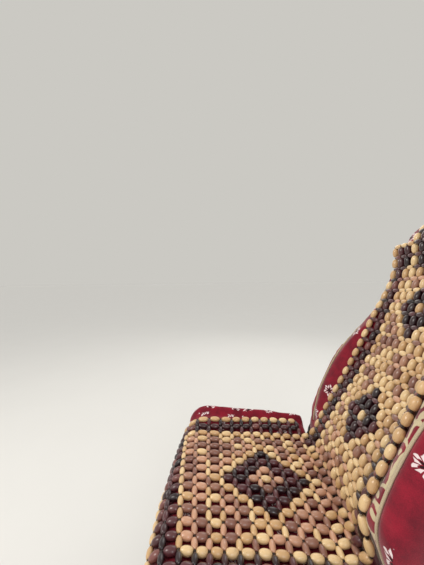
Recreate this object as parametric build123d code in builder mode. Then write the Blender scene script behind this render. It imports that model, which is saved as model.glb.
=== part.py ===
from build123d import *
from math import atan2, cos, degrees, hypot, radians, sin, tan
import os

# Truck driver's seat on an air-sprung scissor base, with a woven wooden bead mat.
# Millimetres. +Z is up, the sitter faces -Y, and +X is the sitter's left, the door side.
# The origin is the centre of the floor bolt pattern, on the floor.

os.makedirs("parts", exist_ok=True)

# Floor pan and top plate of the suspension
bolt_spacing_x = 216.0
bolt_spacing_y = 300.0
bolt_hole_r = 5.25
plate_w = 300.0
plate_l = 400.0
plate_t = 4.0
plate_corner_r = 24.0
window_w = 70.0
window_l = 36.0
window_pitch_x = 100.0
window_pitch_y = 210.0
suspension_h = 244.0

# Roller tracks, a channel along each side of both plates, open inwards
track_w = 24.0
track_h = 36.0
track_wall = 3.0
track_l = 384.0

# Scissor arms
arm_t = 6.0
arm_w = 26.0
arm_gap = 4.0
arm_to_track = 6.0
arm_reach = 150.0
arm_slot_l = 70.0
arm_slot_w = 12.0
pin_r = 6.0
pin_shoulder_r = 9.0
pin_clearance = 0.2
roller_clearance = 1.0
roller_side_gap = 2.0
centre_pin_r = 7.0
centre_head_r = 11.0
centre_head_t = 3.0
cross_tube_r = 11.0
cross_tube_wall = 2.5
cross_tube_share = 0.15

# Air spring between the plates: a rubber sleeve under the top plate that rolls over a piston
sleeve_r = 60.0
sleeve_wall = 5.0
sleeve_l = 165.0
sleeve_cap_r = 50.0
sleeve_cap_t = 30.0
sleeve_shoulder = 12.0
lobe_r = 10.0
piston_foot_r = 44.0
piston_top_r = 40.0
piston_l = 130.0
piston_chamfer = 5.0

# Damper beside the air spring, on the sitter's left
damper_x = 78.0
damper_y = 45.0
damper_eye_h = 20.0
damper_r = 13.0
damper_neck_r = 8.0
damper_neck_l = 18.0
damper_l = 118.0
damper_bore_r = 7.0
damper_bore_floor = 2.0
damper_rod_r = 5.0
damper_rod_l = 126.0
dust_tube_r = 16.0
dust_tube_wall = 1.5
dust_tube_l = 96.0
eye_r = 13.0
eye_w = 18.0
eye_pin_r = 5.0
lug_t = 4.0
lug_gap = 1.0
bolt_head_r = 8.5
bolt_head_t = 4.0

# Slide rails on the top plate and the runners in them
rail_w = 40.0
rail_h = 24.0
rail_wall = 2.5
rail_lip = 8.0
rail_l = 420.0
runner_l = 380.0
runner_clearance = 1.0
runner_stem_w = 12.0
runner_flange_t = 4.0
runner_flange_w = 36.0

# Slide release bar under the front of the cushion
bar_r = 5.0
bar_half_w = 92.0
bar_front_y = -252.0
bar_below_skirt = 24.0
bar_corner = 16.0

# Seat pan
pan_w = 500.0
pan_front_y = -205.0
pan_rear_y = 250.0
pan_t = 3.0
pan_corner_r = 30.0
tub_overhang = 15.0
tub_l = 340.0
tub_h = 58.0
tub_taper = 22.0
tub_corner_r = 36.0

# Cushion
cushion_w = 510.0
cushion_t = 132.0
cushion_front_y = -222.0
cushion_slope = 4.2
cushion_mid_y = 10.0
nose_r = 46.0
nose_drop = 12.0
side_raise = 30.0
roll_under_mat = 50.0
roll_crest_in = 26.0
roll_edge_h = 16.0
roll_front_fade = 40.0
roll_rear_fade = 80.0
roll_rear_gap = 10.0

# Cover skirt, the cover's hanging edge round the front and sides of the cushion
skirt_t = 5.0
skirt_drop_side = 70.0
skirt_drop_front = 118.0

# Backrest, measured from the recliner pivot along the back and out of its face
pivot_y = 235.0
back_lean = 24.0
back_half_t = 50.0
back_clearance = 14.0
back_over_pan = 43.0
back_w = 500.0
waist_u = 230.0
shoulder_w = 384.0
shoulder_u = 520.0
neck_u = 610.0
neck_w = 270.0
neck_n = 82.0
front_rows = (
    # distance up the back, distance out of it
    (0.0, back_half_t),
    (55.0, 79.0),
    (120.0, 88.0),
    (240.0, 76.0),
    (370.0, 66.0),
    (490.0, 70.0),
    (neck_u, neck_n),
)
headrest_inset = 4.0
headrest_h = 165.0
headrest_mid_h = 84.0
headrest_front_n = 100.0
headrest_crown_n = 74.0
headrest_rear_round = 30.0
headrest_corner_r = 52.0

# Side bolsters of the back
bolster_foot_x = 110.0
bolster_crest_x = 205.0
bolster_crest_n = 124.0
bolster_edge_n = 98.0
crest_rows = (
    # distance up the back, distance out of it
    (48.0, 70.0),
    (90.0, 104.0),
    (150.0, 120.0),
    (260.0, 121.0),
    (350.0, 106.0),
    (430.0, 86.0),
    (500.0, 68.0),
)

# Back shell
shell_wall = 3.0
shell_gap = 2.0
shell_wrap_n = -20.0
shell_bulge = 14.0
shell_ledge = 25.0

# Recliner
recliner_t = 5.0
recliner_r = 38.0
recliner_gap = 2.0
recliner_pin_r = 8.0
recliner_pin_clearance = 0.3
recliner_arm_u = 165.0
foot_t = 5.0
foot_l = 110.0
cap_r = 40.0
cap_t = 12.0
cap_chamfer = 6.0

# Bead mat
mat_t = 15.0
mat_seat_w = 438.0
mat_back_w = 330.0
mat_head_w = 165.0
mat_step = 55.0
mat_seat_cells = 16
mat_back_cells = 12
mat_head_cells = 6
mat_cell_l = 30.3
mat_window_cells = 2
mat_nose_window_l = 36.0
mat_seat_rear_gap = 30.0
mat_back_start = 30.0
mat_shoulder_u = 588.0
mat_shoulder_rise = 30.0

# Side trims, levers, knob and buckle
trim_t = 20.0
trim_wall = 3.0
trim_rim = 5.0
trim_front_y = -150.0
trim_rear_y = 100.0
trim_h = 330.0
trim_front_r = 32.0
trim_rear_r = 42.0
trim_chamfer = 7.0
trim_boss_r = 5.0
trim_boss_bite = 1.0
lever_w = 24.0
lever_t = 10.0
lever_hub_r = 16.0
lever_standoff = 6.0
height_lever_l = 96.0
height_lever_y = 60.0
recline_lever_l = 120.0
knob_r = 22.0
knob_t = 16.0
knob_y = -130.0
knob_sides = 12
knob_chamfer = 3.0
stalk_w = 26.0
stalk_t = 6.0
stalk_l = 46.0
stalk_lean = 40.0
stalk_eye_r = 20.0
stalk_boss_r = 14.0
stalk_boss_l = 10.0
buckle_w = 42.0
buckle_l = 74.0
buckle_t = 24.0
buckle_slot_w = 30.0
buckle_slot_t = 6.0
buckle_slot_depth = 22.0

# Levels and places that follow from the sizes above
top_plate_z = suspension_h - plate_t
track_low_z = plate_t + track_h / 2
track_high_z = top_plate_z - track_h / 2
track_x = plate_w / 2
track_mouth_x = track_x - track_w
outer_arm_x = track_mouth_x - arm_to_track - arm_t
inner_arm_x = outer_arm_x - arm_gap - arm_t
arm_rise = track_high_z - track_low_z
arm_mid_z = (track_high_z + track_low_z) / 2
arm_length = hypot(2 * arm_reach, arm_rise)
arm_angle = degrees(atan2(arm_rise, 2 * arm_reach))
roller_r = track_h / 2 - track_wall - roller_clearance
rail_x = (plate_w - rail_w) / 2
tub_w = plate_w + 2 * tub_overhang
rail_top_z = suspension_h + rail_h
runner_top_z = rail_top_z + runner_clearance + runner_flange_t
pan_top_z = runner_top_z + tub_h + pan_t
cushion_bottom_z = pan_top_z
cushion_mid_h = cushion_bottom_z + cushion_t
cushion_rear_y = pivot_y - back_half_t - back_clearance
pivot_h = pan_top_z + back_over_pan + shell_wall + back_half_t
slope = tan(radians(cushion_slope))
nose_top_y = cushion_front_y + nose_r
nose_low_z = cushion_bottom_z - nose_drop


def cushion_top(y):
    return cushion_mid_h - slope * (y - cushion_mid_y)


skirt_top_z = cushion_top(nose_top_y) - nose_r
bar_z = skirt_top_z - skirt_drop_front - bar_below_skirt - bar_r

# Planes of the backrest: its face, and its side view with x up the back and y out of its face
lean = radians(back_lean)
up_back = Vector(0, sin(lean), cos(lean))
out_of_back = Vector(0, -cos(lean), sin(lean))
pivot = Vector(0, pivot_y, pivot_h)
back_face = Plane(origin=pivot, x_dir=(1, 0, 0), z_dir=out_of_back)
back_side = Plane(origin=pivot, x_dir=up_back, z_dir=(1, 0, 0))
back_cross = Plane(origin=pivot, x_dir=(1, 0, 0), z_dir=-up_back)

# Floor pan, with the damper's lower lugs
with BuildPart() as base_pan:
    with BuildSketch():
        RectangleRounded(plate_w, plate_l, plate_corner_r)
        with GridLocations(bolt_spacing_x, bolt_spacing_y, 2, 2):
            Circle(bolt_hole_r, mode=Mode.SUBTRACT)
        with GridLocations(window_pitch_x, window_pitch_y, 2, 2):
            Rectangle(window_w, window_l, mode=Mode.SUBTRACT)
    extrude(amount=plate_t)
    for side in (-1, 1):
        with BuildSketch(Plane.YZ.offset(damper_x + side * (eye_w / 2 + lug_gap))):
            with Locations((damper_y, plate_t + damper_eye_h)):
                Circle(eye_r)
            with Locations((damper_y, plate_t + damper_eye_h / 2)):
                Rectangle(2 * eye_r, damper_eye_h)
            with Locations((damper_y, plate_t + damper_eye_h)):
                Circle(eye_pin_r + pin_clearance, mode=Mode.SUBTRACT)
        extrude(amount=side * lug_t)
base_pan.part.label = "base_pan"
export_step(base_pan.part, "parts/base_pan.step")

# Top plate, with the damper's upper lugs
with BuildPart() as top_plate:
    with BuildSketch(Plane.XY.offset(top_plate_z)):
        RectangleRounded(plate_w, plate_l, plate_corner_r)
        with GridLocations(window_pitch_x, window_pitch_y, 2, 2):
            Rectangle(window_w, window_l, mode=Mode.SUBTRACT)
    extrude(amount=plate_t)
    for side in (-1, 1):
        with BuildSketch(Plane.YZ.offset(damper_x + side * (eye_w / 2 + lug_gap))):
            with Locations((damper_y, top_plate_z - damper_eye_h)):
                Circle(eye_r)
            with Locations((damper_y, top_plate_z - damper_eye_h / 2)):
                Rectangle(2 * eye_r, damper_eye_h)
            with Locations((damper_y, top_plate_z - damper_eye_h)):
                Circle(eye_pin_r + pin_clearance, mode=Mode.SUBTRACT)
        extrude(amount=side * lug_t)
top_plate.part.label = "top_plate"
export_step(top_plate.part, "parts/top_plate.step")

# Roller tracks: the lower pair stands on the floor pan, the upper pair hangs from the top plate.
# The rear end of each has a hole for the arm's fixed pivot.
track_rows = (
    # name, height of the middle
    ("lower_tracks", track_low_z),
    ("upper_tracks", track_high_z),
)
for name, mid_z in track_rows:
    with BuildPart() as tracks:
        with BuildSketch(Plane.XZ):
            for side in (-1, 1):
                with Locations((side * (track_x - track_w / 2), mid_z)):
                    Rectangle(track_w, track_h)
                with Locations((side * (track_x - track_wall - track_w / 2), mid_z)):
                    Rectangle(track_w, track_h - 2 * track_wall, mode=Mode.SUBTRACT)
        extrude(amount=track_l / 2, both=True)
        with BuildSketch(Plane.YZ):
            with Locations((arm_reach, mid_z)):
                Circle(pin_r + pin_clearance)
        extrude(amount=plate_w, both=True, mode=Mode.SUBTRACT)
    tracks.part.label = name
    export_step(tracks.part, f"parts/{name}.step")

# Scissor arms: the outer pair rises to the rear, the inner pair rises to the front
arm_rows = (
    # name, inner face of the plate, turn in the side view
    ("outer_arms", outer_arm_x, arm_angle),
    ("inner_arms", inner_arm_x, -arm_angle),
)
for name, face_x, turn in arm_rows:
    with BuildPart() as arms:
        for side in (-1, 1):
            with BuildSketch(Plane.YZ.offset(side * face_x)):
                with Locations(Location((0, arm_mid_z), turn)):
                    SlotCenterToCenter(arm_length, arm_w)
                    Circle(centre_pin_r + pin_clearance, mode=Mode.SUBTRACT)
                    with Locations((-arm_length / 2, 0), (arm_length / 2, 0)):
                        Circle(pin_r + pin_clearance, mode=Mode.SUBTRACT)
                    with Locations((-arm_length / 4, 0), (arm_length / 4, 0)):
                        Rectangle(arm_slot_l, arm_slot_w, mode=Mode.SUBTRACT)
            extrude(amount=side * arm_t)
    arms.part.label = name
    export_step(arms.part, f"parts/{name}.step")

# Cross tubes that join the left and right arm of each pair, near their ends
tube_y = arm_reach * (1 - 2 * cross_tube_share)
tube_low_z = track_low_z + arm_rise * cross_tube_share
tube_high_z = track_high_z - arm_rise * cross_tube_share
tube_rows = (
    # name, inner face of the arms, y of the lower tube
    ("outer_tubes", outer_arm_x, -tube_y),
    ("inner_tubes", inner_arm_x, tube_y),
)
for name, face_x, low_y in tube_rows:
    with BuildPart() as cross_tubes:
        with BuildSketch(Plane.YZ):
            with Locations((low_y, tube_low_z), (-low_y, tube_high_z)):
                Circle(cross_tube_r)
                Circle(cross_tube_r - cross_tube_wall, mode=Mode.SUBTRACT)
        extrude(amount=face_x, both=True)
    cross_tubes.part.label = name
    export_step(cross_tubes.part, f"parts/{name}.step")

# Stud rollers at the front ends of the arms, and fixed pivots at their rear ends, which pass
# through the webs of the tracks. Each is a pin in the arm, a shoulder and an outer step.
roller_face_x = track_mouth_x + roller_side_gap
roller_end_x = track_x - track_wall - roller_side_gap
web_x = track_x - track_wall
pin_rows = (
    # name, y, height, inner face of the arm, outer step's radius, from, to
    ("lower_rollers", -arm_reach, track_low_z, outer_arm_x, roller_r, roller_face_x, roller_end_x),
    ("upper_rollers", -arm_reach, track_high_z, inner_arm_x, roller_r, roller_face_x, roller_end_x),
    ("upper_pivots", arm_reach, track_high_z, outer_arm_x, pin_r, web_x, track_x + track_wall),
    ("lower_pivots", arm_reach, track_low_z, inner_arm_x, pin_r, web_x, track_x + track_wall),
)
for name, y, z, face_x, outer_r, outer_x, end_x in pin_rows:
    steps = (
        # radius, from, to
        (pin_r, face_x, face_x + arm_t),
        (pin_shoulder_r, face_x + arm_t, outer_x),
        (outer_r, outer_x, end_x),
    )
    with BuildPart() as pins:
        for side in (-1, 1):
            for r, start, end in steps:
                with BuildSketch(Plane.YZ.offset(side * start)):
                    with Locations((y, z)):
                        Circle(r)
                extrude(amount=side * (end - start))
    pins.part.label = name
    export_step(pins.part, f"parts/{name}.step")

# Centre pivots where the arms cross, with a spacer between the plates
with BuildPart() as centre_pivots:
    for side in (-1, 1):
        steps = (
            # radius, from, to
            (centre_head_r, inner_arm_x - centre_head_t, inner_arm_x),
            (centre_pin_r, inner_arm_x, inner_arm_x + arm_t),
            (centre_head_r, inner_arm_x + arm_t, outer_arm_x),
            (centre_pin_r, outer_arm_x, outer_arm_x + arm_t),
            (centre_head_r, outer_arm_x + arm_t, outer_arm_x + arm_t + centre_head_t),
        )
        for r, start, end in steps:
            with BuildSketch(Plane.YZ.offset(side * start)):
                with Locations((0, arm_mid_z)):
                    Circle(r)
            extrude(amount=side * (end - start))
centre_pivots.part.label = "centre_pivots"
export_step(centre_pivots.part, "parts/centre_pivots.step")

# Air spring's piston, on the floor pan
piston_top_z = plate_t + piston_l
with BuildPart() as spring_piston:
    with BuildSketch(Plane.XZ):
        with BuildLine():
            Polyline(
                (0, plate_t),
                (piston_foot_r, plate_t),
                (piston_top_r, piston_top_z - piston_chamfer),
                (piston_top_r - piston_chamfer, piston_top_z),
                (0, piston_top_z),
                close=True,
            )
        make_face()
    revolve(axis=Axis.Z)
spring_piston.part.label = "spring_piston"
export_step(spring_piston.part, "parts/spring_piston.step")

# Air spring's sleeve, under the top plate: a cap, a straight wall and a rolled lobe at its mouth
lobe_z = top_plate_z - sleeve_l
lobe_mid_r = sleeve_r - lobe_r / 2
sleeve_in_r = sleeve_r - sleeve_wall
with BuildPart() as spring_sleeve:
    with BuildSketch(Plane.XZ):
        with BuildLine():
            Polyline(
                (0, top_plate_z),
                (sleeve_cap_r, top_plate_z),
                (sleeve_cap_r, top_plate_z - sleeve_shoulder),
                (sleeve_r, top_plate_z - 2 * sleeve_shoulder),
                (sleeve_r, lobe_z + lobe_r),
                (lobe_mid_r, lobe_z),
                (sleeve_r - lobe_r, lobe_z + lobe_r / 2),
                (sleeve_r - lobe_r, lobe_z + lobe_r),
                (sleeve_in_r, lobe_z + 2 * lobe_r),
                (sleeve_in_r, top_plate_z - sleeve_cap_t),
                (0, top_plate_z - sleeve_cap_t),
                close=True,
            )
        make_face()
    revolve(axis=Axis.Z)
spring_sleeve.part.label = "spring_sleeve"
export_step(spring_sleeve.part, "parts/spring_sleeve.step")

# Damper tube, upright on the lower lugs: an eye, a neck and a body bored for the rod
eye_low_z = plate_t + damper_eye_h
eye_high_z = top_plate_z - damper_eye_h
tube_top_z = eye_low_z + damper_l
eye_plane = Plane.YZ.offset(damper_x)
with BuildPart() as damper_tube:
    with BuildSketch(Plane.XY.offset(eye_low_z)):
        with Locations((damper_x, damper_y)):
            Circle(damper_neck_r)
    extrude(amount=damper_neck_l)
    with BuildSketch(Plane.XY.offset(eye_low_z + damper_neck_l)):
        with Locations((damper_x, damper_y)):
            Circle(damper_r)
    extrude(amount=damper_l - damper_neck_l)
    with BuildSketch(Plane.XY.offset(tube_top_z)):
        with Locations((damper_x, damper_y)):
            Circle(damper_bore_r)
    extrude(amount=-(damper_l - damper_neck_l - damper_bore_floor), mode=Mode.SUBTRACT)
    with BuildSketch(eye_plane):
        with Locations((damper_y, eye_low_z)):
            Circle(eye_r)
    extrude(amount=eye_w / 2, both=True)
    with BuildSketch(eye_plane):
        with Locations((damper_y, eye_low_z)):
            Circle(eye_pin_r + pin_clearance)
    extrude(amount=eye_w, both=True, mode=Mode.SUBTRACT)
damper_tube.part.label = "damper_tube"
export_step(damper_tube.part, "parts/damper_tube.step")

# Damper rod, hung from the upper lugs, with the dust tube that slides over the body
dust_top_z = eye_high_z - eye_r
with BuildPart() as damper_rod:
    with BuildSketch(Plane.XY.offset(eye_high_z - damper_rod_l)):
        with Locations((damper_x, damper_y)):
            Circle(damper_rod_r)
    extrude(amount=damper_rod_l)
    with BuildSketch(Plane.XY.offset(dust_top_z - dust_tube_l)):
        with Locations((damper_x, damper_y)):
            Circle(dust_tube_r)
            Circle(dust_tube_r - dust_tube_wall, mode=Mode.SUBTRACT)
    extrude(amount=dust_tube_l)
    with BuildSketch(Plane.XY.offset(dust_top_z)):
        with Locations((damper_x, damper_y)):
            Circle(dust_tube_r)
    extrude(amount=-dust_tube_wall)
    with BuildSketch(eye_plane):
        with Locations((damper_y, eye_high_z)):
            Circle(eye_r)
    extrude(amount=eye_w / 2, both=True)
    with BuildSketch(eye_plane):
        with Locations((damper_y, eye_high_z)):
            Circle(eye_pin_r + pin_clearance)
    extrude(amount=eye_w, both=True, mode=Mode.SUBTRACT)
damper_rod.part.label = "damper_rod"
export_step(damper_rod.part, "parts/damper_rod.step")

# Bolts through the damper's eyes and lugs
bolt_half = eye_w / 2 + lug_gap + lug_t
for name, eye_z in (("damper_bolt_low", eye_low_z), ("damper_bolt_high", eye_high_z)):
    with BuildPart() as damper_bolt:
        with BuildSketch(eye_plane):
            with Locations((damper_y, eye_z)):
                Circle(eye_pin_r)
        extrude(amount=bolt_half, both=True)
        for side in (-1, 1):
            with BuildSketch(Plane.YZ.offset(damper_x + side * bolt_half)):
                with Locations((damper_y, eye_z)):
                    RegularPolygon(bolt_head_r, 6)
            extrude(amount=side * bolt_head_t)
    damper_bolt.part.label = name
    export_step(damper_bolt.part, f"parts/{name}.step")

# Slide rails: channels with inturned lips, along Y on the top plate
rail_mid_z = suspension_h + rail_h / 2
with BuildPart() as slide_rails:
    with BuildSketch(Plane.XZ):
        for side in (-1, 1):
            with Locations((side * rail_x, rail_mid_z)):
                Rectangle(rail_w, rail_h)
                Rectangle(rail_w - 2 * rail_wall, rail_h - 2 * rail_wall, mode=Mode.SUBTRACT)
            with Locations((side * rail_x, rail_top_z)):
                Rectangle(rail_w - 2 * rail_wall - 2 * rail_lip, 4 * rail_wall, mode=Mode.SUBTRACT)
    extrude(amount=rail_l / 2, both=True)
slide_rails.part.label = "slide_rails"
export_step(slide_rails.part, "parts/slide_rails.step")

# Runners: a foot inside each rail, a stem through its slot and a flange that carries the pan
runner_foot_w = rail_w - 2 * rail_wall - 2 * runner_clearance
foot_low_z = suspension_h + rail_wall + runner_clearance
foot_high_z = rail_top_z - rail_wall - runner_clearance
with BuildPart() as runners:
    with BuildSketch(Plane.XZ):
        for side in (-1, 1):
            with Locations((side * rail_x, (foot_low_z + foot_high_z) / 2)):
                Rectangle(runner_foot_w, foot_high_z - foot_low_z)
            with Locations((side * rail_x, (foot_high_z + runner_top_z) / 2)):
                Rectangle(runner_stem_w, runner_top_z - foot_high_z)
            with Locations((side * rail_x, runner_top_z - runner_flange_t / 2)):
                Rectangle(runner_flange_w, runner_flange_t)
    extrude(amount=runner_l / 2, both=True)
runners.part.label = "runners"
export_step(runners.part, "parts/runners.step")

# Seat pan: a flanged tub with flared walls, open at the top under the cushion
pan_l = pan_rear_y - pan_front_y
pan_mid_y = (pan_rear_y + pan_front_y) / 2
tub_base = Plane.XY.offset(runner_top_z)
with BuildPart() as seat_pan:
    with BuildSketch(tub_base):
        RectangleRounded(tub_w, tub_l, tub_corner_r)
    extrude(amount=tub_h + pan_t, taper=-tub_taper)
    with BuildSketch(Plane.XY.offset(pan_top_z - pan_t)):
        with Locations((0, pan_mid_y)):
            RectangleRounded(pan_w, pan_l, pan_corner_r)
    extrude(amount=pan_t)
    with BuildSketch(tub_base.offset(pan_t)):
        RectangleRounded(tub_w - 2 * pan_t, tub_l - 2 * pan_t, tub_corner_r - pan_t)
    extrude(amount=tub_h + pan_t, taper=-tub_taper, mode=Mode.SUBTRACT)
seat_pan.part.label = "seat_pan"
export_step(seat_pan.part, "parts/seat_pan.step")

# Slide release bar: a bent rod that comes out of the tub's front wall
bar_rear_y = -(tub_l / 2 + (bar_z + bar_r - runner_top_z) * tan(radians(tub_taper)))
with BuildPart() as slide_bar:
    with BuildLine() as bar_path:
        Polyline(
            (-bar_half_w, bar_rear_y, bar_z),
            (-bar_half_w, bar_front_y + bar_corner, bar_z),
            (-bar_half_w + bar_corner, bar_front_y, bar_z),
            (bar_half_w - bar_corner, bar_front_y, bar_z),
            (bar_half_w, bar_front_y + bar_corner, bar_z),
            (bar_half_w, bar_rear_y, bar_z),
        )
    with BuildSketch(Plane(origin=bar_path.line @ 0, z_dir=bar_path.line % 0)):
        Circle(bar_r)
    sweep(path=bar_path.line, transition=Transition.RIGHT)
slide_bar.part.label = "slide_bar"
export_step(slide_bar.part, "parts/slide_bar.step")

# Cushion: its side view with the waterfall nose, cut to a front view with raised side rolls
with BuildPart() as seat_cushion:
    with BuildSketch(Plane.YZ):
        with BuildLine():
            Polyline(
                (pan_front_y, cushion_bottom_z),
                (cushion_rear_y, cushion_bottom_z),
                (cushion_rear_y, cushion_top(cushion_rear_y)),
                (nose_top_y, cushion_top(nose_top_y)),
            )
            RadiusArc(
                (nose_top_y, cushion_top(nose_top_y)),
                (cushion_front_y, cushion_top(nose_top_y) - nose_r),
                -nose_r,
            )
            Polyline(
                (cushion_front_y, cushion_top(nose_top_y) - nose_r),
                (cushion_front_y, nose_low_z),
                (pan_front_y, nose_low_z),
                (pan_front_y, cushion_bottom_z),
            )
        make_face()
    extrude(amount=cushion_w / 2, both=True)
seat_cushion.part.label = "seat_cushion"
export_step(seat_cushion.part, "parts/seat_cushion.step")

# Side rolls: soft ridges along the cushion's upper edges that fade out at both ends
roll_foot_x = mat_seat_w / 2 - roll_under_mat
roll_crest_x = cushion_w / 2 - roll_crest_in
roll_rear_y = cushion_rear_y - roll_rear_gap
roll_section = Plane(
    origin=(0, nose_top_y, cushion_top(nose_top_y)),
    x_dir=(1, 0, 0),
    z_dir=(0, -cos(radians(cushion_slope)), sin(radians(cushion_slope))),
)
with BuildPart() as seat_rolls:
    for side in (-1, 1):
        with BuildSketch(roll_section):
            with BuildLine():
                Polyline(
                    (side * roll_crest_x, side_raise),
                    (side * roll_foot_x, 0),
                    (side * cushion_w / 2, 0),
                    (side * cushion_w / 2, roll_edge_h),
                )
                RadiusArc(
                    (side * cushion_w / 2, roll_edge_h),
                    (side * roll_crest_x, side_raise),
                    -side * roll_crest_in,
                )
            make_face()
        extrude(amount=-(roll_rear_y - nose_top_y))
    with BuildSketch(Plane.YZ):
        with BuildLine():
            Polyline(
                (nose_top_y, cushion_top(nose_top_y)),
                (nose_top_y + roll_front_fade, cushion_top(nose_top_y + roll_front_fade) + side_raise),
                (roll_rear_y - roll_rear_fade, cushion_top(roll_rear_y - roll_rear_fade) + side_raise),
                (roll_rear_y, cushion_top(roll_rear_y)),
                close=True,
            )
        make_face()
    extrude(amount=cushion_w, both=True, mode=Mode.INTERSECT)
seat_rolls.part.label = "seat_rolls"
export_step(seat_rolls.part, "parts/seat_rolls.step")

# Cover skirt: the hanging edge of the seat cover, against the cushion's front and sides
skirt_rear_y = trim_rear_y
with BuildPart() as cover_skirt:
    with BuildSketch(Plane.XY.offset(skirt_top_z - skirt_drop_side)):
        with Locations((0, (cushion_front_y + skirt_rear_y) / 2 - skirt_t / 2)):
            Rectangle(cushion_w + 2 * skirt_t, skirt_rear_y - cushion_front_y + skirt_t)
        with Locations((0, (cushion_front_y + skirt_rear_y) / 2)):
            Rectangle(cushion_w, skirt_rear_y - cushion_front_y, mode=Mode.SUBTRACT)
    extrude(amount=skirt_drop_side)
    with BuildSketch(Plane.XY.offset(skirt_top_z - skirt_drop_front)):
        with Locations((0, cushion_front_y - skirt_t / 2)):
            Rectangle(cushion_w + 2 * skirt_t, skirt_t)
    extrude(amount=skirt_drop_front - skirt_drop_side)
cover_skirt.part.label = "cover_skirt"
export_step(cover_skirt.part, "parts/cover_skirt.step")

# Seat part of the bead mat: over the nose, back along the top and up the side rolls
mat_rear_y = cushion_rear_y - mat_seat_rear_gap
mat_out_z = mat_t / cos(radians(cushion_slope))
cell_w = mat_seat_w / mat_seat_cells
window_gap = cell_w - mat_t
window_pitch = mat_window_cells * mat_cell_l
window_run = window_pitch - mat_t
side_cells = (mat_seat_cells - mat_back_cells) // 2
notch_front_y = mat_rear_y - mat_step
mid_windows = int((mat_rear_y - nose_top_y) / window_pitch)
side_windows = int((notch_front_y - nose_top_y) / window_pitch)
with BuildPart() as bead_mat_seat:
    with BuildSketch(Plane.YZ):
        with BuildLine():
            Line((mat_rear_y, cushion_top(mat_rear_y)), (nose_top_y, cushion_top(nose_top_y)))
            RadiusArc(
                (nose_top_y, cushion_top(nose_top_y)),
                (cushion_front_y, cushion_top(nose_top_y) - nose_r),
                -nose_r,
            )
            Line(
                (cushion_front_y, cushion_top(nose_top_y) - nose_r),
                (cushion_front_y - mat_t, cushion_top(nose_top_y) - nose_r),
            )
            RadiusArc(
                (cushion_front_y - mat_t, cushion_top(nose_top_y) - nose_r),
                (nose_top_y, cushion_top(nose_top_y) + mat_out_z),
                nose_r + mat_t,
            )
            Line(
                (nose_top_y, cushion_top(nose_top_y) + mat_out_z),
                (mat_rear_y, cushion_top(mat_rear_y) + mat_out_z),
            )
            Line(
                (mat_rear_y, cushion_top(mat_rear_y) + mat_out_z),
                (mat_rear_y, cushion_top(mat_rear_y)),
            )
        make_face()
    extrude(amount=mat_seat_w / 2, both=True)
    add(seat_rolls.part.moved(Location((0, 0, mat_out_z))))
    add(seat_rolls.part, mode=Mode.SUBTRACT)
    with BuildSketch(Plane.XY.offset(cushion_bottom_z)):
        Rectangle(mat_seat_w, 4 * cushion_w)
    extrude(amount=cushion_t + 2 * side_raise, mode=Mode.INTERSECT)
    notch_x = (mat_seat_w + mat_back_w) / 4
    notch_w = (mat_seat_w - mat_back_w) / 2
    notch_l = cushion_rear_y - mat_rear_y + mat_step
    notch_y = cushion_rear_y - notch_l / 2
    with BuildSketch(Plane.XY.offset(cushion_bottom_z)):
        with Locations((notch_x, notch_y), (-notch_x, notch_y)):
            Rectangle(notch_w, notch_l)
    extrude(amount=cushion_t + 2 * side_raise, mode=Mode.SUBTRACT)
    # Windows between the strings, each two beads long, and a row round the nose
    with BuildSketch(Plane.XY.offset(cushion_bottom_z)):
        with Locations((0, (nose_top_y + mat_rear_y) / 2)):
            with GridLocations(cell_w, window_pitch, mat_back_cells, mid_windows):
                Rectangle(window_gap, window_run)
        side_mid_y = (nose_top_y + notch_front_y) / 2
        with Locations((notch_x, side_mid_y), (-notch_x, side_mid_y)):
            with GridLocations(cell_w, window_pitch, side_cells, side_windows):
                Rectangle(window_gap, window_run)
    extrude(amount=cushion_t + 2 * side_raise, mode=Mode.SUBTRACT)
    nose_plane = Plane((0, nose_top_y, cushion_top(nose_top_y) - nose_r), x_dir=(1, 0, 0), z_dir=(0, -1, 1))
    with BuildSketch(nose_plane):
        with GridLocations(cell_w, cell_w, mat_seat_cells, 1):
            Rectangle(window_gap, mat_nose_window_l)
    extrude(amount=nose_r + 2 * mat_t, mode=Mode.SUBTRACT)
bead_mat_seat.part.label = "bead_mat_seat"
export_step(bead_mat_seat.part, "parts/bead_mat_seat.step")

# Recliner brackets: a plate beside the pivot, a foot under the pan's flange and the pivot pin
shell_x = back_w / 2 + shell_gap + shell_wall
bracket_x = shell_x + recliner_t + recliner_gap
foot_top_z = pan_top_z - pan_t
foot_mid_y = pan_rear_y - foot_l / 2
foot_w = bracket_x - pan_w / 2 + foot_l / 2
with BuildPart() as recliner_brackets:
    for side in (-1, 1):
        with BuildSketch(Plane.YZ.offset(side * bracket_x)):
            with Locations((pivot_y, pivot_h)):
                Circle(recliner_r)
            with Locations((foot_mid_y, foot_top_z - foot_t / 2)):
                Rectangle(foot_l, foot_t)
            make_hull()
        extrude(amount=side * recliner_t)
        with BuildSketch(Plane.XY.offset(foot_top_z - foot_t)):
            with Locations((side * (bracket_x - foot_w / 2), foot_mid_y)):
                Rectangle(foot_w, foot_l)
        extrude(amount=foot_t)
        with BuildSketch(Plane.YZ.offset(side * bracket_x)):
            with Locations((pivot_y, pivot_h)):
                Circle(recliner_pin_r)
        extrude(amount=-side * (bracket_x - shell_x))
recliner_brackets.part.label = "recliner_brackets"
export_step(recliner_brackets.part, "parts/recliner_brackets.step")

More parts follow.
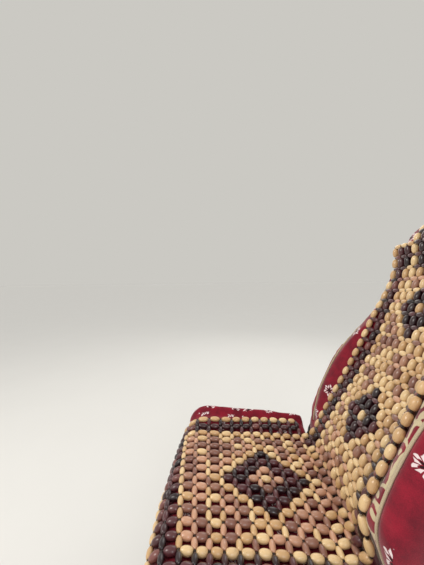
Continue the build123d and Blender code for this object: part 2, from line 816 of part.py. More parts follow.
# Round covers over the recliner pivots
with BuildPart() as pivot_caps:
    for side in (-1, 1):
        with BuildSketch(Plane.YZ.offset(side * (bracket_x + recliner_t))):
            with Locations((pivot_y, pivot_h)):
                Circle(cap_r)
        extrude(amount=side * cap_t)
    cap_faces = pivot_caps.faces().sort_by(Axis.X)
    chamfer(cap_faces[0].edges() + cap_faces[-1].edges(), length=cap_chamfer)
pivot_caps.part.label = "pivot_caps"
export_step(pivot_caps.part, "parts/pivot_caps.step")

# Recliner arms, on the shell's side walls, turning on the pivot pins
with BuildPart() as recliner_arms:
    for side in (-1, 1):
        with BuildSketch(back_side.offset(side * shell_x)):
            Circle(recliner_r)
            with Locations((recliner_arm_u, (shell_wrap_n - back_half_t) / 2)):
                Circle(recliner_r / 2)
            make_hull()
            Circle(recliner_pin_r + recliner_pin_clearance, mode=Mode.SUBTRACT)
        extrude(amount=side * recliner_t)
recliner_arms.part.label = "recliner_arms"
export_step(recliner_arms.part, "parts/recliner_arms.step")

# Outline of the pad in the face view: straight to the waist, a taper, round shoulders and a neck
shoulder_run = (shoulder_w - neck_w) / 2
shoulder_r = (shoulder_run ** 2 + (neck_u - shoulder_u) ** 2) / (2 * shoulder_run)
with BuildSketch(back_face.offset(-2 * back_half_t)) as pad_outline:
    with BuildLine():
        Polyline(
            (-shoulder_w / 2, shoulder_u),
            (-back_w / 2, waist_u),
            (-back_w / 2, -2 * back_half_t),
            (back_w / 2, -2 * back_half_t),
            (back_w / 2, waist_u),
            (shoulder_w / 2, shoulder_u),
        )
        for side in (-1, 1):
            RadiusArc(
                (side * shoulder_w / 2, shoulder_u),
                (side * neck_w / 2, neck_u),
                -side * shoulder_r,
            )
        Line((-neck_w / 2, neck_u), (neck_w / 2, neck_u))
    make_face()

# Back pad: a side view with a lumbar swell, a hollow above it and a half-round lower end
with BuildPart() as back_pad:
    with BuildSketch(back_side):
        with BuildLine():
            ThreePointArc((0, back_half_t), (-back_half_t, 0), (0, -back_half_t))
            Polyline((0, -back_half_t), (neck_u, -back_half_t), (neck_u, neck_n))
            Spline(*front_rows)
        make_face()
    extrude(amount=back_w / 2, both=True)
    extrude(pad_outline.sketch, amount=4 * back_half_t, mode=Mode.INTERSECT)
back_pad.part.label = "back_pad"
export_step(back_pad.part, "parts/back_pad.step")

# Headrest on top of the pad: rounded outline, front bulging forward
head_top_u = neck_u + headrest_h
headrest_w = neck_w - 2 * headrest_inset
crown_u = head_top_u - headrest_corner_r
with BuildPart() as headrest:
    with BuildSketch(back_side):
        with BuildLine():
            Polyline(
                (neck_u, neck_n),
                (neck_u, -back_half_t),
                (head_top_u - headrest_rear_round, -back_half_t),
            )
            ThreePointArc(
                (head_top_u - headrest_rear_round, -back_half_t),
                (head_top_u, (headrest_crown_n - back_half_t) / 2),
                (crown_u, headrest_crown_n),
            )
            ThreePointArc(
                (crown_u, headrest_crown_n),
                (neck_u + headrest_mid_h / 2, headrest_front_n),
                (neck_u, neck_n),
            )
        make_face()
    extrude(amount=headrest_w / 2, both=True)
    with BuildSketch(back_face.offset(-2 * back_half_t)):
        with Locations((0, neck_u + headrest_h / 2 - headrest_corner_r / 2)):
            RectangleRounded(headrest_w, headrest_h + headrest_corner_r, headrest_corner_r)
    extrude(amount=4 * back_half_t, mode=Mode.INTERSECT)
headrest.part.label = "headrest"
export_step(headrest.part, "parts/headrest.step")

# Side bolsters: a ridge section along the back, cut to a crest line that swells and fades
with BuildPart() as back_bolsters:
    for side in (-1, 1):
        with BuildSketch(back_cross):
            with BuildLine():
                Polyline(
                    (side * bolster_crest_x, bolster_crest_n),
                    (side * bolster_foot_x, back_half_t),
                    (side * back_w / 2, back_half_t),
                    (side * back_w / 2, bolster_edge_n),
                )
                RadiusArc(
                    (side * back_w / 2, bolster_edge_n),
                    (side * bolster_crest_x, bolster_crest_n),
                    -side * (back_w / 2 - bolster_crest_x),
                )
            make_face()
        extrude(amount=-neck_u)
    with BuildSketch(back_side):
        with BuildLine():
            Polyline(crest_rows[-1], (crest_rows[-1][0], 0), (crest_rows[0][0], 0), crest_rows[0])
            Spline(*crest_rows)
        make_face()
    extrude(amount=back_w, both=True, mode=Mode.INTERSECT)
    extrude(pad_outline.sketch, amount=6 * back_half_t, mode=Mode.INTERSECT)
    add(back_pad.part, mode=Mode.SUBTRACT)
back_bolsters.part.label = "back_bolsters"
export_step(back_bolsters.part, "parts/back_bolsters.step")

# Back part of the bead mat: the padded front moved out by its thickness, cut to its outline
back_windows = int((mat_shoulder_u - mat_back_start) / window_pitch)
with BuildPart() as bead_mat_back:
    for padding in (back_pad, headrest, back_bolsters):
        add(padding.part.moved(Location(out_of_back * mat_t)))
    for padding in (back_pad, headrest, back_bolsters):
        add(padding.part, mode=Mode.SUBTRACT)
    with BuildSketch(back_face):
        with BuildLine():
            Polyline(
                (mat_back_w / 2, mat_shoulder_u),
                (mat_back_w / 2, mat_back_start),
                (-mat_back_w / 2, mat_back_start),
                (-mat_back_w / 2, mat_shoulder_u),
                (-mat_head_w / 2, mat_shoulder_u + mat_shoulder_rise),
                (-mat_head_w / 2, crown_u),
                (mat_head_w / 2, crown_u),
                (mat_head_w / 2, mat_shoulder_u + mat_shoulder_rise),
                close=True,
            )
        make_face()
    extrude(amount=4 * back_half_t, mode=Mode.INTERSECT)
    # Windows between the strings of the back and of the strip over the headrest
    strip_mid_u = (mat_shoulder_u + mat_shoulder_rise + crown_u) / 2
    with BuildSketch(back_face):
        with Locations((0, (mat_back_start + mat_shoulder_u) / 2)):
            with GridLocations(mat_back_w / mat_back_cells, window_pitch, mat_back_cells, back_windows):
                Rectangle(mat_back_w / mat_back_cells - mat_t, window_run)
        with Locations((0, strip_mid_u)):
            with GridLocations(mat_head_w / mat_head_cells, window_pitch, mat_head_cells, 1):
                Rectangle(mat_head_w / mat_head_cells - mat_t, window_run)
    extrude(amount=6 * back_half_t, both=True, mode=Mode.SUBTRACT)
bead_mat_back.part.label = "bead_mat_back"
export_step(bead_mat_back.part, "parts/bead_mat_back.step")

# Back shell: a moulded wall behind the pad and headrest, wrapped forward along their sides,
# with a bevelled panel that swells to the rear and is hollow between the pad's edges
shell_rear_n = -back_half_t - shell_wall - shell_bulge
with BuildPart() as back_shell:
    for wall, rear_n, mode in ((shell_wall, shell_rear_n, Mode.ADD), (0, -back_half_t, Mode.SUBTRACT)):
        half_w = shell_x - shell_wall + wall
        shoulder_half = shoulder_w / 2 + shell_gap + wall
        neck_half = neck_w / 2 + shell_gap + wall
        neck_top_u = neck_u + shell_gap + wall
        side_w = shoulder_half - neck_half
        side_r = (side_w ** 2 + (neck_top_u - shoulder_u) ** 2) / (2 * side_w)
        low_u = -back_half_t - wall
        top_u = head_top_u + shell_gap + wall
        with BuildSketch(back_face.offset(rear_n), mode=Mode.PRIVATE) as shell_outline:
            with BuildLine():
                Polyline((-half_w, waist_u), (-half_w, low_u), (half_w, low_u), (half_w, waist_u))
                for side in (-1, 1):
                    Line((side * half_w, waist_u), (side * shoulder_half, shoulder_u))
                    RadiusArc(
                        (side * shoulder_half, shoulder_u),
                        (side * neck_half, neck_top_u),
                        -side * side_r,
                    )
                    Line((side * neck_half, neck_top_u), (side * neck_half, top_u - headrest_corner_r))
                    RadiusArc(
                        (side * neck_half, top_u - headrest_corner_r),
                        (side * (neck_half - headrest_corner_r), top_u),
                        -side * headrest_corner_r,
                    )
                Line(
                    (-(neck_half - headrest_corner_r), top_u),
                    (neck_half - headrest_corner_r, top_u),
                )
            make_face()
        extrude(shell_outline.sketch, amount=shell_wrap_n - rear_n, mode=mode)
        if mode == Mode.ADD:
            rear_face = back_shell.faces().sort_by(Axis(pivot, out_of_back))[0]
            chamfer(rear_face.edges(), length=shell_bulge)
    with BuildSketch(back_face.offset(-back_half_t - shell_bulge)):
        with Locations((0, (crown_u + back_half_t) / 2)):
            Rectangle(neck_w - 2 * shell_ledge, crown_u - back_half_t)
    extrude(amount=shell_bulge, mode=Mode.SUBTRACT)
back_shell.part.label = "back_shell"
export_step(back_shell.part, "parts/back_shell.step")

# Side trims: hollow moulded covers beside the pan, open inwards, on bosses from the pan's edge
trim_x = cushion_w / 2 + skirt_t + 2 * recliner_gap
trim_skins = (
    # inset of the outline, depth, mode
    (0, trim_t, Mode.ADD),
    (trim_rim, trim_t - trim_wall, Mode.SUBTRACT),
)
with BuildPart() as side_trims:
    for inset, depth, mode in trim_skins:
        for side in (-1, 1):
            with BuildSketch(Plane.YZ.offset(side * trim_x)):
                with Locations((trim_front_y, trim_h)):
                    Circle(trim_front_r - inset)
                with Locations((trim_rear_y - trim_rear_r, trim_h)):
                    Circle(trim_rear_r - inset)
                make_hull()
            extrude(amount=side * depth, mode=mode)
        if mode == Mode.ADD:
            trim_faces = side_trims.faces().sort_by(Axis.X)
            chamfer(trim_faces[0].edges() + trim_faces[-1].edges(), length=trim_chamfer)
    for side in (-1, 1):
        for boss_y in (trim_front_y + trim_front_r, trim_rear_y - 2 * trim_rear_r):
            with BuildSketch(Plane.YZ.offset(side * pan_w / 2)):
                with Locations((boss_y, pan_top_z - pan_t + trim_boss_bite - trim_boss_r)):
                    Circle(trim_boss_r)
            extrude(amount=side * (trim_x + trim_t - trim_wall - pan_w / 2))
side_trims.part.label = "side_trims"
export_step(side_trims.part, "parts/side_trims.step")

# Height lever on the left trim
trim_out_x = trim_x + trim_t
with BuildPart() as height_lever:
    with BuildSketch(Plane.YZ.offset(trim_out_x)):
        with Locations((-height_lever_y, trim_h)):
            Circle(lever_hub_r)
    extrude(amount=lever_standoff)
    with BuildSketch(Plane.YZ.offset(trim_out_x + lever_standoff)):
        with Locations((-height_lever_y, trim_h)):
            Circle(lever_hub_r)
        with Locations((-height_lever_y + height_lever_l - lever_w / 2, trim_h)):
            Circle(lever_w / 2)
        make_hull()
    extrude(amount=lever_t)
height_lever.part.label = "height_lever"
export_step(height_lever.part, "parts/height_lever.step")

# Recline lever on the left pivot cover
cap_out_x = bracket_x + recliner_t + cap_t
with BuildPart() as recline_lever:
    with BuildSketch(Plane.YZ.offset(cap_out_x)):
        with Locations((pivot_y, pivot_h)):
            Circle(lever_hub_r)
    extrude(amount=lever_standoff)
    with BuildSketch(Plane.YZ.offset(cap_out_x + lever_standoff)):
        with Locations((pivot_y, pivot_h)):
            Circle(lever_hub_r)
        with Locations((pivot_y - recline_lever_l, pivot_h - recline_lever_l / 4)):
            Circle(lever_w / 2)
        make_hull()
    extrude(amount=lever_t)
recline_lever.part.label = "recline_lever"
export_step(recline_lever.part, "parts/recline_lever.step")

# Many-sided knob for the damper setting, at the front of the left trim
with BuildPart() as damper_knob:
    with BuildSketch(Plane.YZ.offset(trim_out_x)):
        with Locations((knob_y, trim_h)):
            RegularPolygon(knob_r, knob_sides)
    extrude(amount=knob_t)
    chamfer(damper_knob.faces().sort_by(Axis.X)[-1].edges(), length=knob_chamfer)
damper_knob.part.label = "damper_knob"
export_step(damper_knob.part, "parts/damper_knob.step")

# Buckle on its stalk, on the right bracket, the inboard side
stalk_boss_x = -(bracket_x + recliner_t)
stalk_x = stalk_boss_x - stalk_boss_l
stalk_foot_y = foot_mid_y
stalk_foot_z = foot_top_z + stalk_eye_r
stalk_up = Vector(0, -sin(radians(stalk_lean)), cos(radians(stalk_lean)))
stalk_side = Plane(
    origin=(stalk_x, stalk_foot_y, stalk_foot_z), x_dir=stalk_up, z_dir=(-1, 0, 0)
)
with BuildPart() as buckle_stalk:
    with BuildSketch(stalk_side):
        Circle(stalk_eye_r)
        with Locations((stalk_l / 2, 0)):
            Rectangle(stalk_l, stalk_w)
    extrude(amount=stalk_t)
    with BuildSketch(stalk_side):
        Circle(stalk_boss_r)
    extrude(amount=-stalk_boss_l)
buckle_stalk.part.label = "buckle_stalk"
export_step(buckle_stalk.part, "parts/buckle_stalk.step")

buckle_base = Plane(
    origin=Vector(stalk_x - stalk_t / 2, stalk_foot_y, stalk_foot_z) + stalk_up * stalk_l,
    x_dir=(0, cos(radians(stalk_lean)), sin(radians(stalk_lean))),
    z_dir=stalk_up,
)
with BuildPart() as buckle:
    with BuildSketch(buckle_base):
        RectangleRounded(buckle_w, buckle_t, buckle_t / 4)
    extrude(amount=buckle_l)
    with BuildSketch(buckle_base.offset(buckle_l)):
        Rectangle(buckle_slot_w, buckle_slot_t)
    extrude(amount=-buckle_slot_depth, mode=Mode.SUBTRACT)
buckle.part.label = "buckle"
export_step(buckle.part, "parts/buckle.step")
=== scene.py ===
# Air-sprung driver's seat in a crimson cover with a strung wooden bead mat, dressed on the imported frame
import math
import random

import bmesh
import bpy
import numpy as np
from mathutils import Matrix, Vector
from mathutils.bvhtree import BVHTree


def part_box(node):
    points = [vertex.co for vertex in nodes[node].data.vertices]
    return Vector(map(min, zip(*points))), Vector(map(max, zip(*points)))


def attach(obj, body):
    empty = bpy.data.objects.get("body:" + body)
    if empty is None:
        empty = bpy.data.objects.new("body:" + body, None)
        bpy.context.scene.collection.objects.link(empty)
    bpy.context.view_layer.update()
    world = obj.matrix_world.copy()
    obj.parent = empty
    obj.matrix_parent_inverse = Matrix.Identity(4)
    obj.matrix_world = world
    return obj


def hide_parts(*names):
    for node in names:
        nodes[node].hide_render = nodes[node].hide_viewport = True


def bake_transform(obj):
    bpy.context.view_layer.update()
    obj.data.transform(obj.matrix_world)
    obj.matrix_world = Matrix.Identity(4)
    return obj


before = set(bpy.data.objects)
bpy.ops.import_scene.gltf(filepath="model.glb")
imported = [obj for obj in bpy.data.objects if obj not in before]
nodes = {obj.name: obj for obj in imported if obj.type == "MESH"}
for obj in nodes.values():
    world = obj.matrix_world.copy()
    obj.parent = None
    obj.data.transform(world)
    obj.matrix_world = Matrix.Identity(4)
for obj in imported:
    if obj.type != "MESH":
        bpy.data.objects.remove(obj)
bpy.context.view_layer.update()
random.seed(7)
print("frame loaded,", len(nodes), "nodes")

# where the soft parts lie, in metres: the side profile that the whole mat follows
seatShape = {
    "cushionTopAt": (0.010, 0.466),  # y and height of the cushion's middle
    "cushionFall": 0.07344,  # drop per metre towards the back
    "noseY": -0.176,
    "noseRadius": 0.046,
    "rollRows": ((-0.215, 0.0), (-0.160, 0.0165), (-0.050, 0.0175), (0.060, 0.022), (0.140, 0.025),
                 (0.190, 0.012)),  # y, height
    "rollReach": (0.150, 0.225),
    "doorSideRoll": 0.45,  # worn down where the driver slides in
    "edgeCrest": (0.022, 0.003),  # rise beyond the mat, on the far and the door side
    "edgeOut": 0.010,  # and how far the far edge bellies over the side
    "rearFill": 0.005,  # fuller corners towards the back
    "footRoom": 0.004,  # given up at the back's foot, so that it can fold forward
    "pivot": (0.235, 0.430),
    "lean": math.radians(24.0),
    "padRows": ((0.0, 0.050), (0.055, 0.079), (0.120, 0.088), (0.240, 0.076), (0.370, 0.066),
                (0.490, 0.070), (0.610, 0.082), (0.652, 0.100), (0.723, 0.074)),  # way up, distance out
    "crestRows": ((0.048, 0.070), (0.090, 0.104), (0.150, 0.120), (0.260, 0.121), (0.350, 0.106),
                  (0.430, 0.086), (0.500, 0.068)),  # way up, distance out
    "backRows": ((0.230, 0.250), (0.520, 0.192), (0.580, 0.168), (0.610, 0.135)),  # way up, half width
    "slopeFoot": (0.110, 0.050),
    "slopeRise": 74 / 95,
    "slopeBlend": 0.014,
    "matLift": 0.0085,
    "twist": 0.0213,  # the door side of the back stands this much further out
    "bow": 0.0071,  # and the middle of the cushion's front edge this much further forward
}
leanSin, leanCos = math.sin(seatShape["lean"]), math.cos(seatShape["lean"])
pivotY, pivotZ = seatShape["pivot"]


def smooth(value, start, width):
    # from 0 at the start to 1 over the width, and a negative width falls the other way
    t = min(max((value - start) / width, 0.0), 1.0)
    return t * t * (3 - 2 * t)


def ramp(values, start, width):
    # the same for arrays, in a straight line
    return np.clip((values - start) / width, 0, 1)


def along(rows, at):
    # value at this place, straight from row to row
    return float(np.interp(at, [r[0] for r in rows], [r[1] for r in rows]))


def splineThrough(rows):
    # natural cubic through the rows
    x, y = np.array(rows, float).T
    h = np.diff(x)
    a, b = np.eye(len(x)), np.zeros(len(x))
    for i in range(1, len(x) - 1):
        a[i, i - 1:i + 2] = h[i - 1], 2 * (h[i - 1] + h[i]), h[i]
        b[i] = 6 * ((y[i + 1] - y[i]) / h[i] - (y[i] - y[i - 1]) / h[i - 1])
    m = np.linalg.solve(a, b)

    def at(t):
        t = min(max(t, x[0]), x[-1])
        i = min(int(np.searchsorted(x, t, side="right")) - 1, len(h) - 1)
        p, q = (x[i + 1] - t) / h[i], (t - x[i]) / h[i]
        bent = ((p ** 3 - p) * m[i] + (q ** 3 - q) * m[i + 1]) * h[i] ** 2 / 6
        return float(p * y[i] + q * y[i + 1] + bent)

    return at


padFront = splineThrough(seatShape["padRows"])
crestLine = splineThrough(seatShape["crestRows"])


def backPoint(u, n):
    # up the back and out of it, to y and z
    return pivotY + u * leanSin - n * leanCos, pivotZ + u * leanCos + n * leanSin


def backPlace(y, z):
    # and the other way round, for numbers or whole arrays
    return (y - pivotY) * leanSin + (z - pivotZ) * leanCos, -(y - pivotY) * leanCos + (z - pivotZ) * leanSin


def cushionTop(y):
    # height of the cushion's middle, this far back
    y0, z0 = seatShape["cushionTopAt"]
    return z0 - seatShape["cushionFall"] * (y - y0)


def rollHeight(x, y):
    # the soft ridges along both edges of the cushion
    low, high = seatShape["rollReach"]
    worn = 1 - (1 - seatShape["doorSideRoll"]) * smooth(x, 0.0, 0.1)
    return worn * smooth(abs(x), low, high - low) * along(seatShape["rollRows"], y)


def frontBow(x, y):
    # how far forward the front edge bellies out
    return seatShape["bow"] * max(0.0, 1 - (x / 0.235) ** 2) * smooth(y, -0.06, -0.13)


def bolsterHeight(x, u):
    # how far the bolster stands above the pad at this spot
    foot, level = seatShape["slopeFoot"]
    slope = min(level + (abs(x) - foot) * seatShape["slopeRise"], crestLine(u))
    base, k = padFront(u), seatShape["slopeBlend"]
    top = 0.5 * (base + slope + math.sqrt((base - slope) ** 2 + k * k))
    fade = smooth(u, 0.04, 0.06) * smooth(u, 0.56, -0.06)
    return max(0.0, top - base - 0.25 * k * (1 if abs(x) < foot else 0.0)) * fade


def seamAcross(u):
    # how far out the piping runs, this far up the back
    return min(0.212, along(seatShape["backRows"], u) - 0.008)


def backTwist(x, u):
    # how far the turn towards the door moves a spot out
    fade = smooth(u, 0.0, 0.12) * (1 - 0.5 * smooth(u, 0.47, 0.12))
    return seatShape["twist"] * fade * min(max(x, -0.215), 0.215) / 0.165


class NodeBench:
    # short ways to add and join nodes in one tree
    def __init__(self, tree):
        self.tree = tree

    def add(self, kind, inputs=None, **settings):
        families = ("ShaderNode", "GeometryNode", "FunctionNode", "Node")
        family = next(f for f in families if hasattr(bpy.types, f + kind))
        node = self.tree.nodes.new(family + kind)
        for key, value in settings.items():
            setattr(node, key, value)
        for key, value in (inputs or {}).items():
            self.feed(node.inputs[key], value)
        return node

    def out(self, kind, inputs=None, **settings):
        return self.add(kind, inputs, **settings).outputs[0]

    def feed(self, socket, value):
        if isinstance(value, bpy.types.NodeSocket):
            self.tree.links.new(value, socket)
        else:
            socket.default_value = value

    def sum(self, operation, *values):
        return self.out("Math", dict(enumerate(values)), operation=operation)

    def scaled(self, value, by, plus=0.0):
        return self.sum("MULTIPLY_ADD", value, by, plus)

    def vector(self, operation, *values):
        return self.out("VectorMath", dict(enumerate(values)), operation=operation)

    def split(self, vector):
        return self.add("SeparateXYZ", {0: vector}).outputs

    def step(self, value, low, high, outLow=0.0, outHigh=1.0):
        limits = {"Value": value, "From Min": low, "From Max": high, "To Min": outLow, "To Max": outHigh}
        return self.out("MapRange", limits, interpolation_type="SMOOTHSTEP")

    def blend(self, factor, a, b):
        return self.add("Mix", {0: factor, 6: a, 7: b}, data_type="RGBA").outputs[2]

    def noise(self, vector, scale, detail=3.0, roughness=0.5):
        settings = {"Vector": vector, "Scale": scale, "Detail": detail, "Roughness": roughness}
        return self.out("TexNoise", settings)

    def stored(self, name, kind="Fac"):
        return self.add("Attribute", attribute_name=name).outputs[kind]


def colour(r, g, b):
    # colours are written as sRGB values, 0 to 255
    def lin(v):
        v /= 255
        return v / 12.92 if v <= 0.04045 else ((v + 0.055) / 1.055) ** 2.4

    return (lin(r), lin(g), lin(b), 1.0)


def newGroup(name, inputs, outputs, kind="Shader"):
    # an input is given by its starting number, or by its kind where it has none
    tree = bpy.data.node_groups.new(name, kind + "NodeTree")
    for label, value in inputs.items():
        sort = value if isinstance(value, str) else "Int" if isinstance(value, int) else "Float"
        socket = tree.interface.new_socket(label, in_out="INPUT", socket_type="NodeSocket" + sort)
        if sort != value:
            socket.default_value = value
    for label in outputs:
        sort = "Float" if kind == "Shader" else kind
        tree.interface.new_socket(label, in_out="OUTPUT", socket_type="NodeSocket" + sort)
    bench = NodeBench(tree)
    return tree, bench, bench.add("GroupInput").outputs, bench.add("GroupOutput").inputs


def place(bench, tree, inputs):
    return bench.add("Group", inputs, node_tree=tree).outputs


# soft nap of velour: brushed patches and the fine pile
napGroup, b, gin, gout = newGroup("velourNap", {"Vector": "Vector", "Patch Size": 0.05}, ("Shade", "Height"))
patches = b.noise(gin["Vector"], b.sum("DIVIDE", 1.0, gin["Patch Size"]), 4.0, 0.6)
pile = b.noise(gin["Vector"], 900.0, 2.0, 0.7)
b.feed(gout["Shade"], b.scaled(pile, 0.35, b.scaled(patches, 0.65)))
b.feed(gout["Height"], b.scaled(pile, 0.7, b.scaled(patches, 0.3)))

# small ring flowers scattered over cloth
flowerGroup, b, gin, gout = newGroup("clothFlowers", {"Vector": "Vector", "Size": 0.05, "Petals": 6.0},
                                     ("Ring", "Heart"))
cells = b.add("TexVoronoi", {"Vector": gin["Vector"], "Scale": b.sum("DIVIDE", 1.0, gin["Size"]),
                             "Randomness": 0.7}, voronoi_dimensions="2D", feature="F1").outputs
centred = b.split(b.vector("SUBTRACT", cells["Position"], gin["Vector"]))
angle = b.sum("ARCTAN2", centred[1], centred[0])
dist = b.sum("ADD", cells["Distance"], b.scaled(b.sum("SINE", b.scaled(angle, gin["Petals"])), 0.035))
gaps = b.step(b.sum("SINE", b.scaled(angle, b.scaled(gin["Petals"], 2.0))), -0.75, -0.35)
ring = b.scaled(b.step(dist, 0.10, 0.12), b.scaled(b.step(dist, 0.20, 0.22, 1.0, 0.0), gaps))
some = b.step(b.out("SeparateColor", {0: cells["Color"]}), 0.40, 0.42)
b.feed(gout["Ring"], b.scaled(ring, some))
b.feed(gout["Heart"], b.scaled(b.step(dist, 0.07, 0.09, 1.0, 0.0), some))

# curling leaves: dark shapes with a pale eye, pale veins between them
scrollGroup, b, gin, gout = newGroup("clothScroll", {"Vector": "Vector", "Size": 0.07}, ("Vein", "Eye"))
warp = b.add("TexNoise", {"Vector": gin["Vector"], "Scale": 26.0, "Detail": 1.0}).outputs["Color"]
warped = b.vector("MULTIPLY_ADD", warp, (0.035, 0.035, 0.0), gin["Vector"])
leafCells = {"Vector": warped, "Scale": b.sum("DIVIDE", 1.0, gin["Size"]), "Randomness": 0.75}
edge, mid = (b.add("TexVoronoi", leafCells, voronoi_dimensions="2D", feature=feature).outputs["Distance"]
             for feature in ("DISTANCE_TO_EDGE", "F1"))
teeth = b.noise(gin["Vector"], 150.0, 1.0)
b.feed(gout["Vein"], b.step(b.scaled(teeth, 0.09, edge), 0.125, 0.165, 1.0, 0.0))
b.feed(gout["Eye"], b.step(mid, 0.15, 0.19, 1.0, 0.0))

# worn edges: where a rounded normal leaves the flat one
wearGroup, b, gin, gout = newGroup("edgeWear", {"Vector": "Vector", "Width": 0.0015, "Break Up": 60.0},
                                   ("Mask",))
soft = b.out("Bevel", {"Radius": gin["Width"]}, samples=4)
flat = b.add("NewGeometry").outputs["Normal"]
lineUp = b.add("VectorMath", {0: soft, 1: flat}, operation="DOT_PRODUCT").outputs["Value"]
speck = b.noise(gin["Vector"], gin["Break Up"], 4.0, 0.7)
b.feed(gout["Mask"], b.scaled(b.step(lineUp, 0.985, 0.86), b.step(speck, 0.42, 0.62)))

# moulded or cast skin: fine pebbles and slow tone changes
grainGroup, b, gin, gout = newGroup("skinGrain", {"Vector": "Vector", "Pebble": 0.0012}, ("Height", "Tone"))
pebbles = b.out("TexVoronoi", {"Vector": gin["Vector"], "Scale": b.sum("DIVIDE", 1.0, gin["Pebble"])})
b.feed(gout["Height"], pebbles)
b.feed(gout["Tone"], b.noise(gin["Vector"], 14.0, 5.0, 0.6))

# dust that settles on what faces up
dustGroup, b, gin, gout = newGroup("settledDust", {"Vector": "Vector", "Amount": 0.3}, ("Mask",))
upward = b.step(b.split(b.add("NewGeometry").outputs["Normal"])[2], 0.3, 0.95)
settled = b.step(b.noise(gin["Vector"], 18.0, 5.0, 0.65), 0.35, 0.7)
b.feed(gout["Mask"], b.scaled(b.scaled(upward, settled), gin["Amount"]))


def newMaterial(name, plain=None):
    mat = bpy.data.materials.new(name)
    mat.use_nodes = True
    bench = NodeBench(mat.node_tree)
    shader = mat.node_tree.nodes["Principled BSDF"]
    for key, value in (plain or {}).items():
        shader.inputs[key].default_value = value
    here = bench.add("TexCoord").outputs["Object"]
    return mat, bench, shader, here


def surface(bench, shader, base, rough, height=None, strength=0.0, distance=0.0):
    bench.feed(shader.inputs["Base Color"], base)
    bench.feed(shader.inputs["Roughness"], rough)
    if height:
        relief = bench.out("Bump", {"Height": height, "Strength": strength, "Distance": distance})
        bench.feed(shader.inputs["Normal"], relief)


coverColours = {
    "ground": colour(150, 24, 46),
    "shadow": colour(92, 12, 30),
    "cream": colour(204, 188, 152),
    "flower": colour(226, 208, 208),
    "flowerHeart": colour(40, 8, 16),
    "leaf": colour(84, 10, 26),
    "flowerSize": 0.072,
    "leafSize": 0.038,
}
coverVelour, b, shader, here = newMaterial("coverVelour", {"Sheen Weight": 0.35, "Sheen Roughness": 0.45,
                                                           "Specular IOR Level": 0.2})
cloth = b.out("UVMap", uv_map="cloth")
nap = place(b, napGroup, {"Vector": here, "Patch Size": 0.045})
flowers = place(b, flowerGroup, {"Vector": cloth, "Size": coverColours["flowerSize"], "Petals": 6.0})
leaves = place(b, scrollGroup, {"Vector": cloth, "Size": coverColours["leafSize"]})
brushed = b.step(nap["Shade"], 0.3, 0.7)
flowered = b.blend(brushed, coverColours["shadow"], coverColours["ground"])
flowered = b.blend(flowers["Ring"], flowered, coverColours["flower"])
flowered = b.blend(flowers["Heart"], flowered, coverColours["flowerHeart"])
leafy = b.blend(brushed, coverColours["leaf"], coverColours["ground"])
for mark in ("Vein", "Eye"):
    leafy = b.blend(leaves[mark], leafy, coverColours["cream"])
leafy = b.blend(b.step(nap["Shade"], 0.55, 0.30, 0.0, 0.35), leafy, coverColours["shadow"])
surface(b, shader, b.blend(b.stored("scrollBand"), flowered, leafy), b.scaled(nap["Shade"], 0.2, 0.72),
        b.scaled(flowers["Ring"], 0.5, nap["Height"]), 0.45, 0.0012)

pipingCloth, b, shader, here = newMaterial("pipingCloth", {"Sheen Weight": 0.2})
twist = b.add("TexWave", {"Vector": here, "Scale": 260.0, "Distortion": 1.5},
              bands_direction="DIAGONAL").outputs[1]
surface(b, shader, b.blend(b.step(twist, 0.2, 0.8), colour(150, 132, 104), colour(206, 190, 158)),
        b.scaled(twist, 0.1, 0.75), twist, 0.4, 0.0006)

# turned beads: the tone number picks the stain, the luck number shifts it
beadStains = {
    "pale": (colour(228, 196, 146), colour(200, 160, 112)),
    "tan": (colour(200, 152, 122), colour(132, 90, 76)),
    "dark": (colour(86, 44, 48), colour(34, 16, 22)),
    "red": (colour(122, 72, 66), colour(80, 42, 44)),
}
beadWood, b, shader, here = newMaterial("beadWood", {"Coat Weight": 0.6, "Coat Roughness": 0.08,
                                                     "Specular IOR Level": 0.4})
tone, luck = b.stored("tone"), b.stored("luck")
grainCo = b.stored("grainCo", "Vector")
moved = b.vector("ADD", grainCo, b.out("CombineXYZ", {0: b.scaled(luck, 37.0), 1: luck}))
fibre = b.noise(b.vector("MULTIPLY", moved, (3.0, 3.0, 0.35)), 2.4, 4.0, 0.62)
stain = None
for number, (first, second) in enumerate(beadStains.values()):
    wood = b.blend(b.step(luck, 0.1, 0.9), first, second)
    wood = b.blend(b.step(fibre, 0.52, 0.70, 0.0, 0.45), wood, b.blend(0.55, wood, (0.0, 0.0, 0.0, 1.0)))
    stain = b.blend(b.step(tone, number - 0.6, number - 0.4), stain, wood) if stain else wood
# darker towards the middle of each flat end: partly the end grain, partly painted shade of the drilled hole
endGrainAndHoleShade = b.step(b.sum("ABSOLUTE", b.split(grainCo)[2]), 0.86, 0.99, 0.0, 0.7)
stain = b.blend(endGrainAndHoleShade, stain, colour(40, 22, 16))
surface(b, shader, stain, b.scaled(fibre, 0.18, 0.26), fibre, 0.12, 0.0006)

nylonLine, b, shader, here = newMaterial("nylonLine", {"Coat Weight": 0.3})
clear = b.noise(here, 300.0, 2.0, 0.5)
surface(b, shader, b.blend(clear, colour(196, 186, 168), colour(236, 230, 216)), b.scaled(clear, 0.15, 0.2))

# dark balls where the cords cross: painted shade of the gaps between the beads, in dark browns that vary with
# noise
knotGapShade, b, shader, here = newMaterial("knotGapShade")
worn = b.noise(here, 400.0, 3.0, 0.6)
surface(b, shader, b.blend(worn, colour(22, 14, 14), colour(60, 42, 36)), b.scaled(worn, 0.2, 0.4))


def aged(bench, here, pebble, dust, wearWidth=None, breakUp=0.0):
    # the grain, dust and worn edges of a hard finish
    grain = place(bench, grainGroup, {"Vector": here, "Pebble": pebble})
    dusty = place(bench, dustGroup, {"Vector": here, "Amount": dust})["Mask"]
    if wearWidth is None:
        return grain, dusty
    wear = place(bench, wearGroup, {"Vector": here, "Width": wearWidth, "Break Up": breakUp})["Mask"]
    return grain, dusty, wear


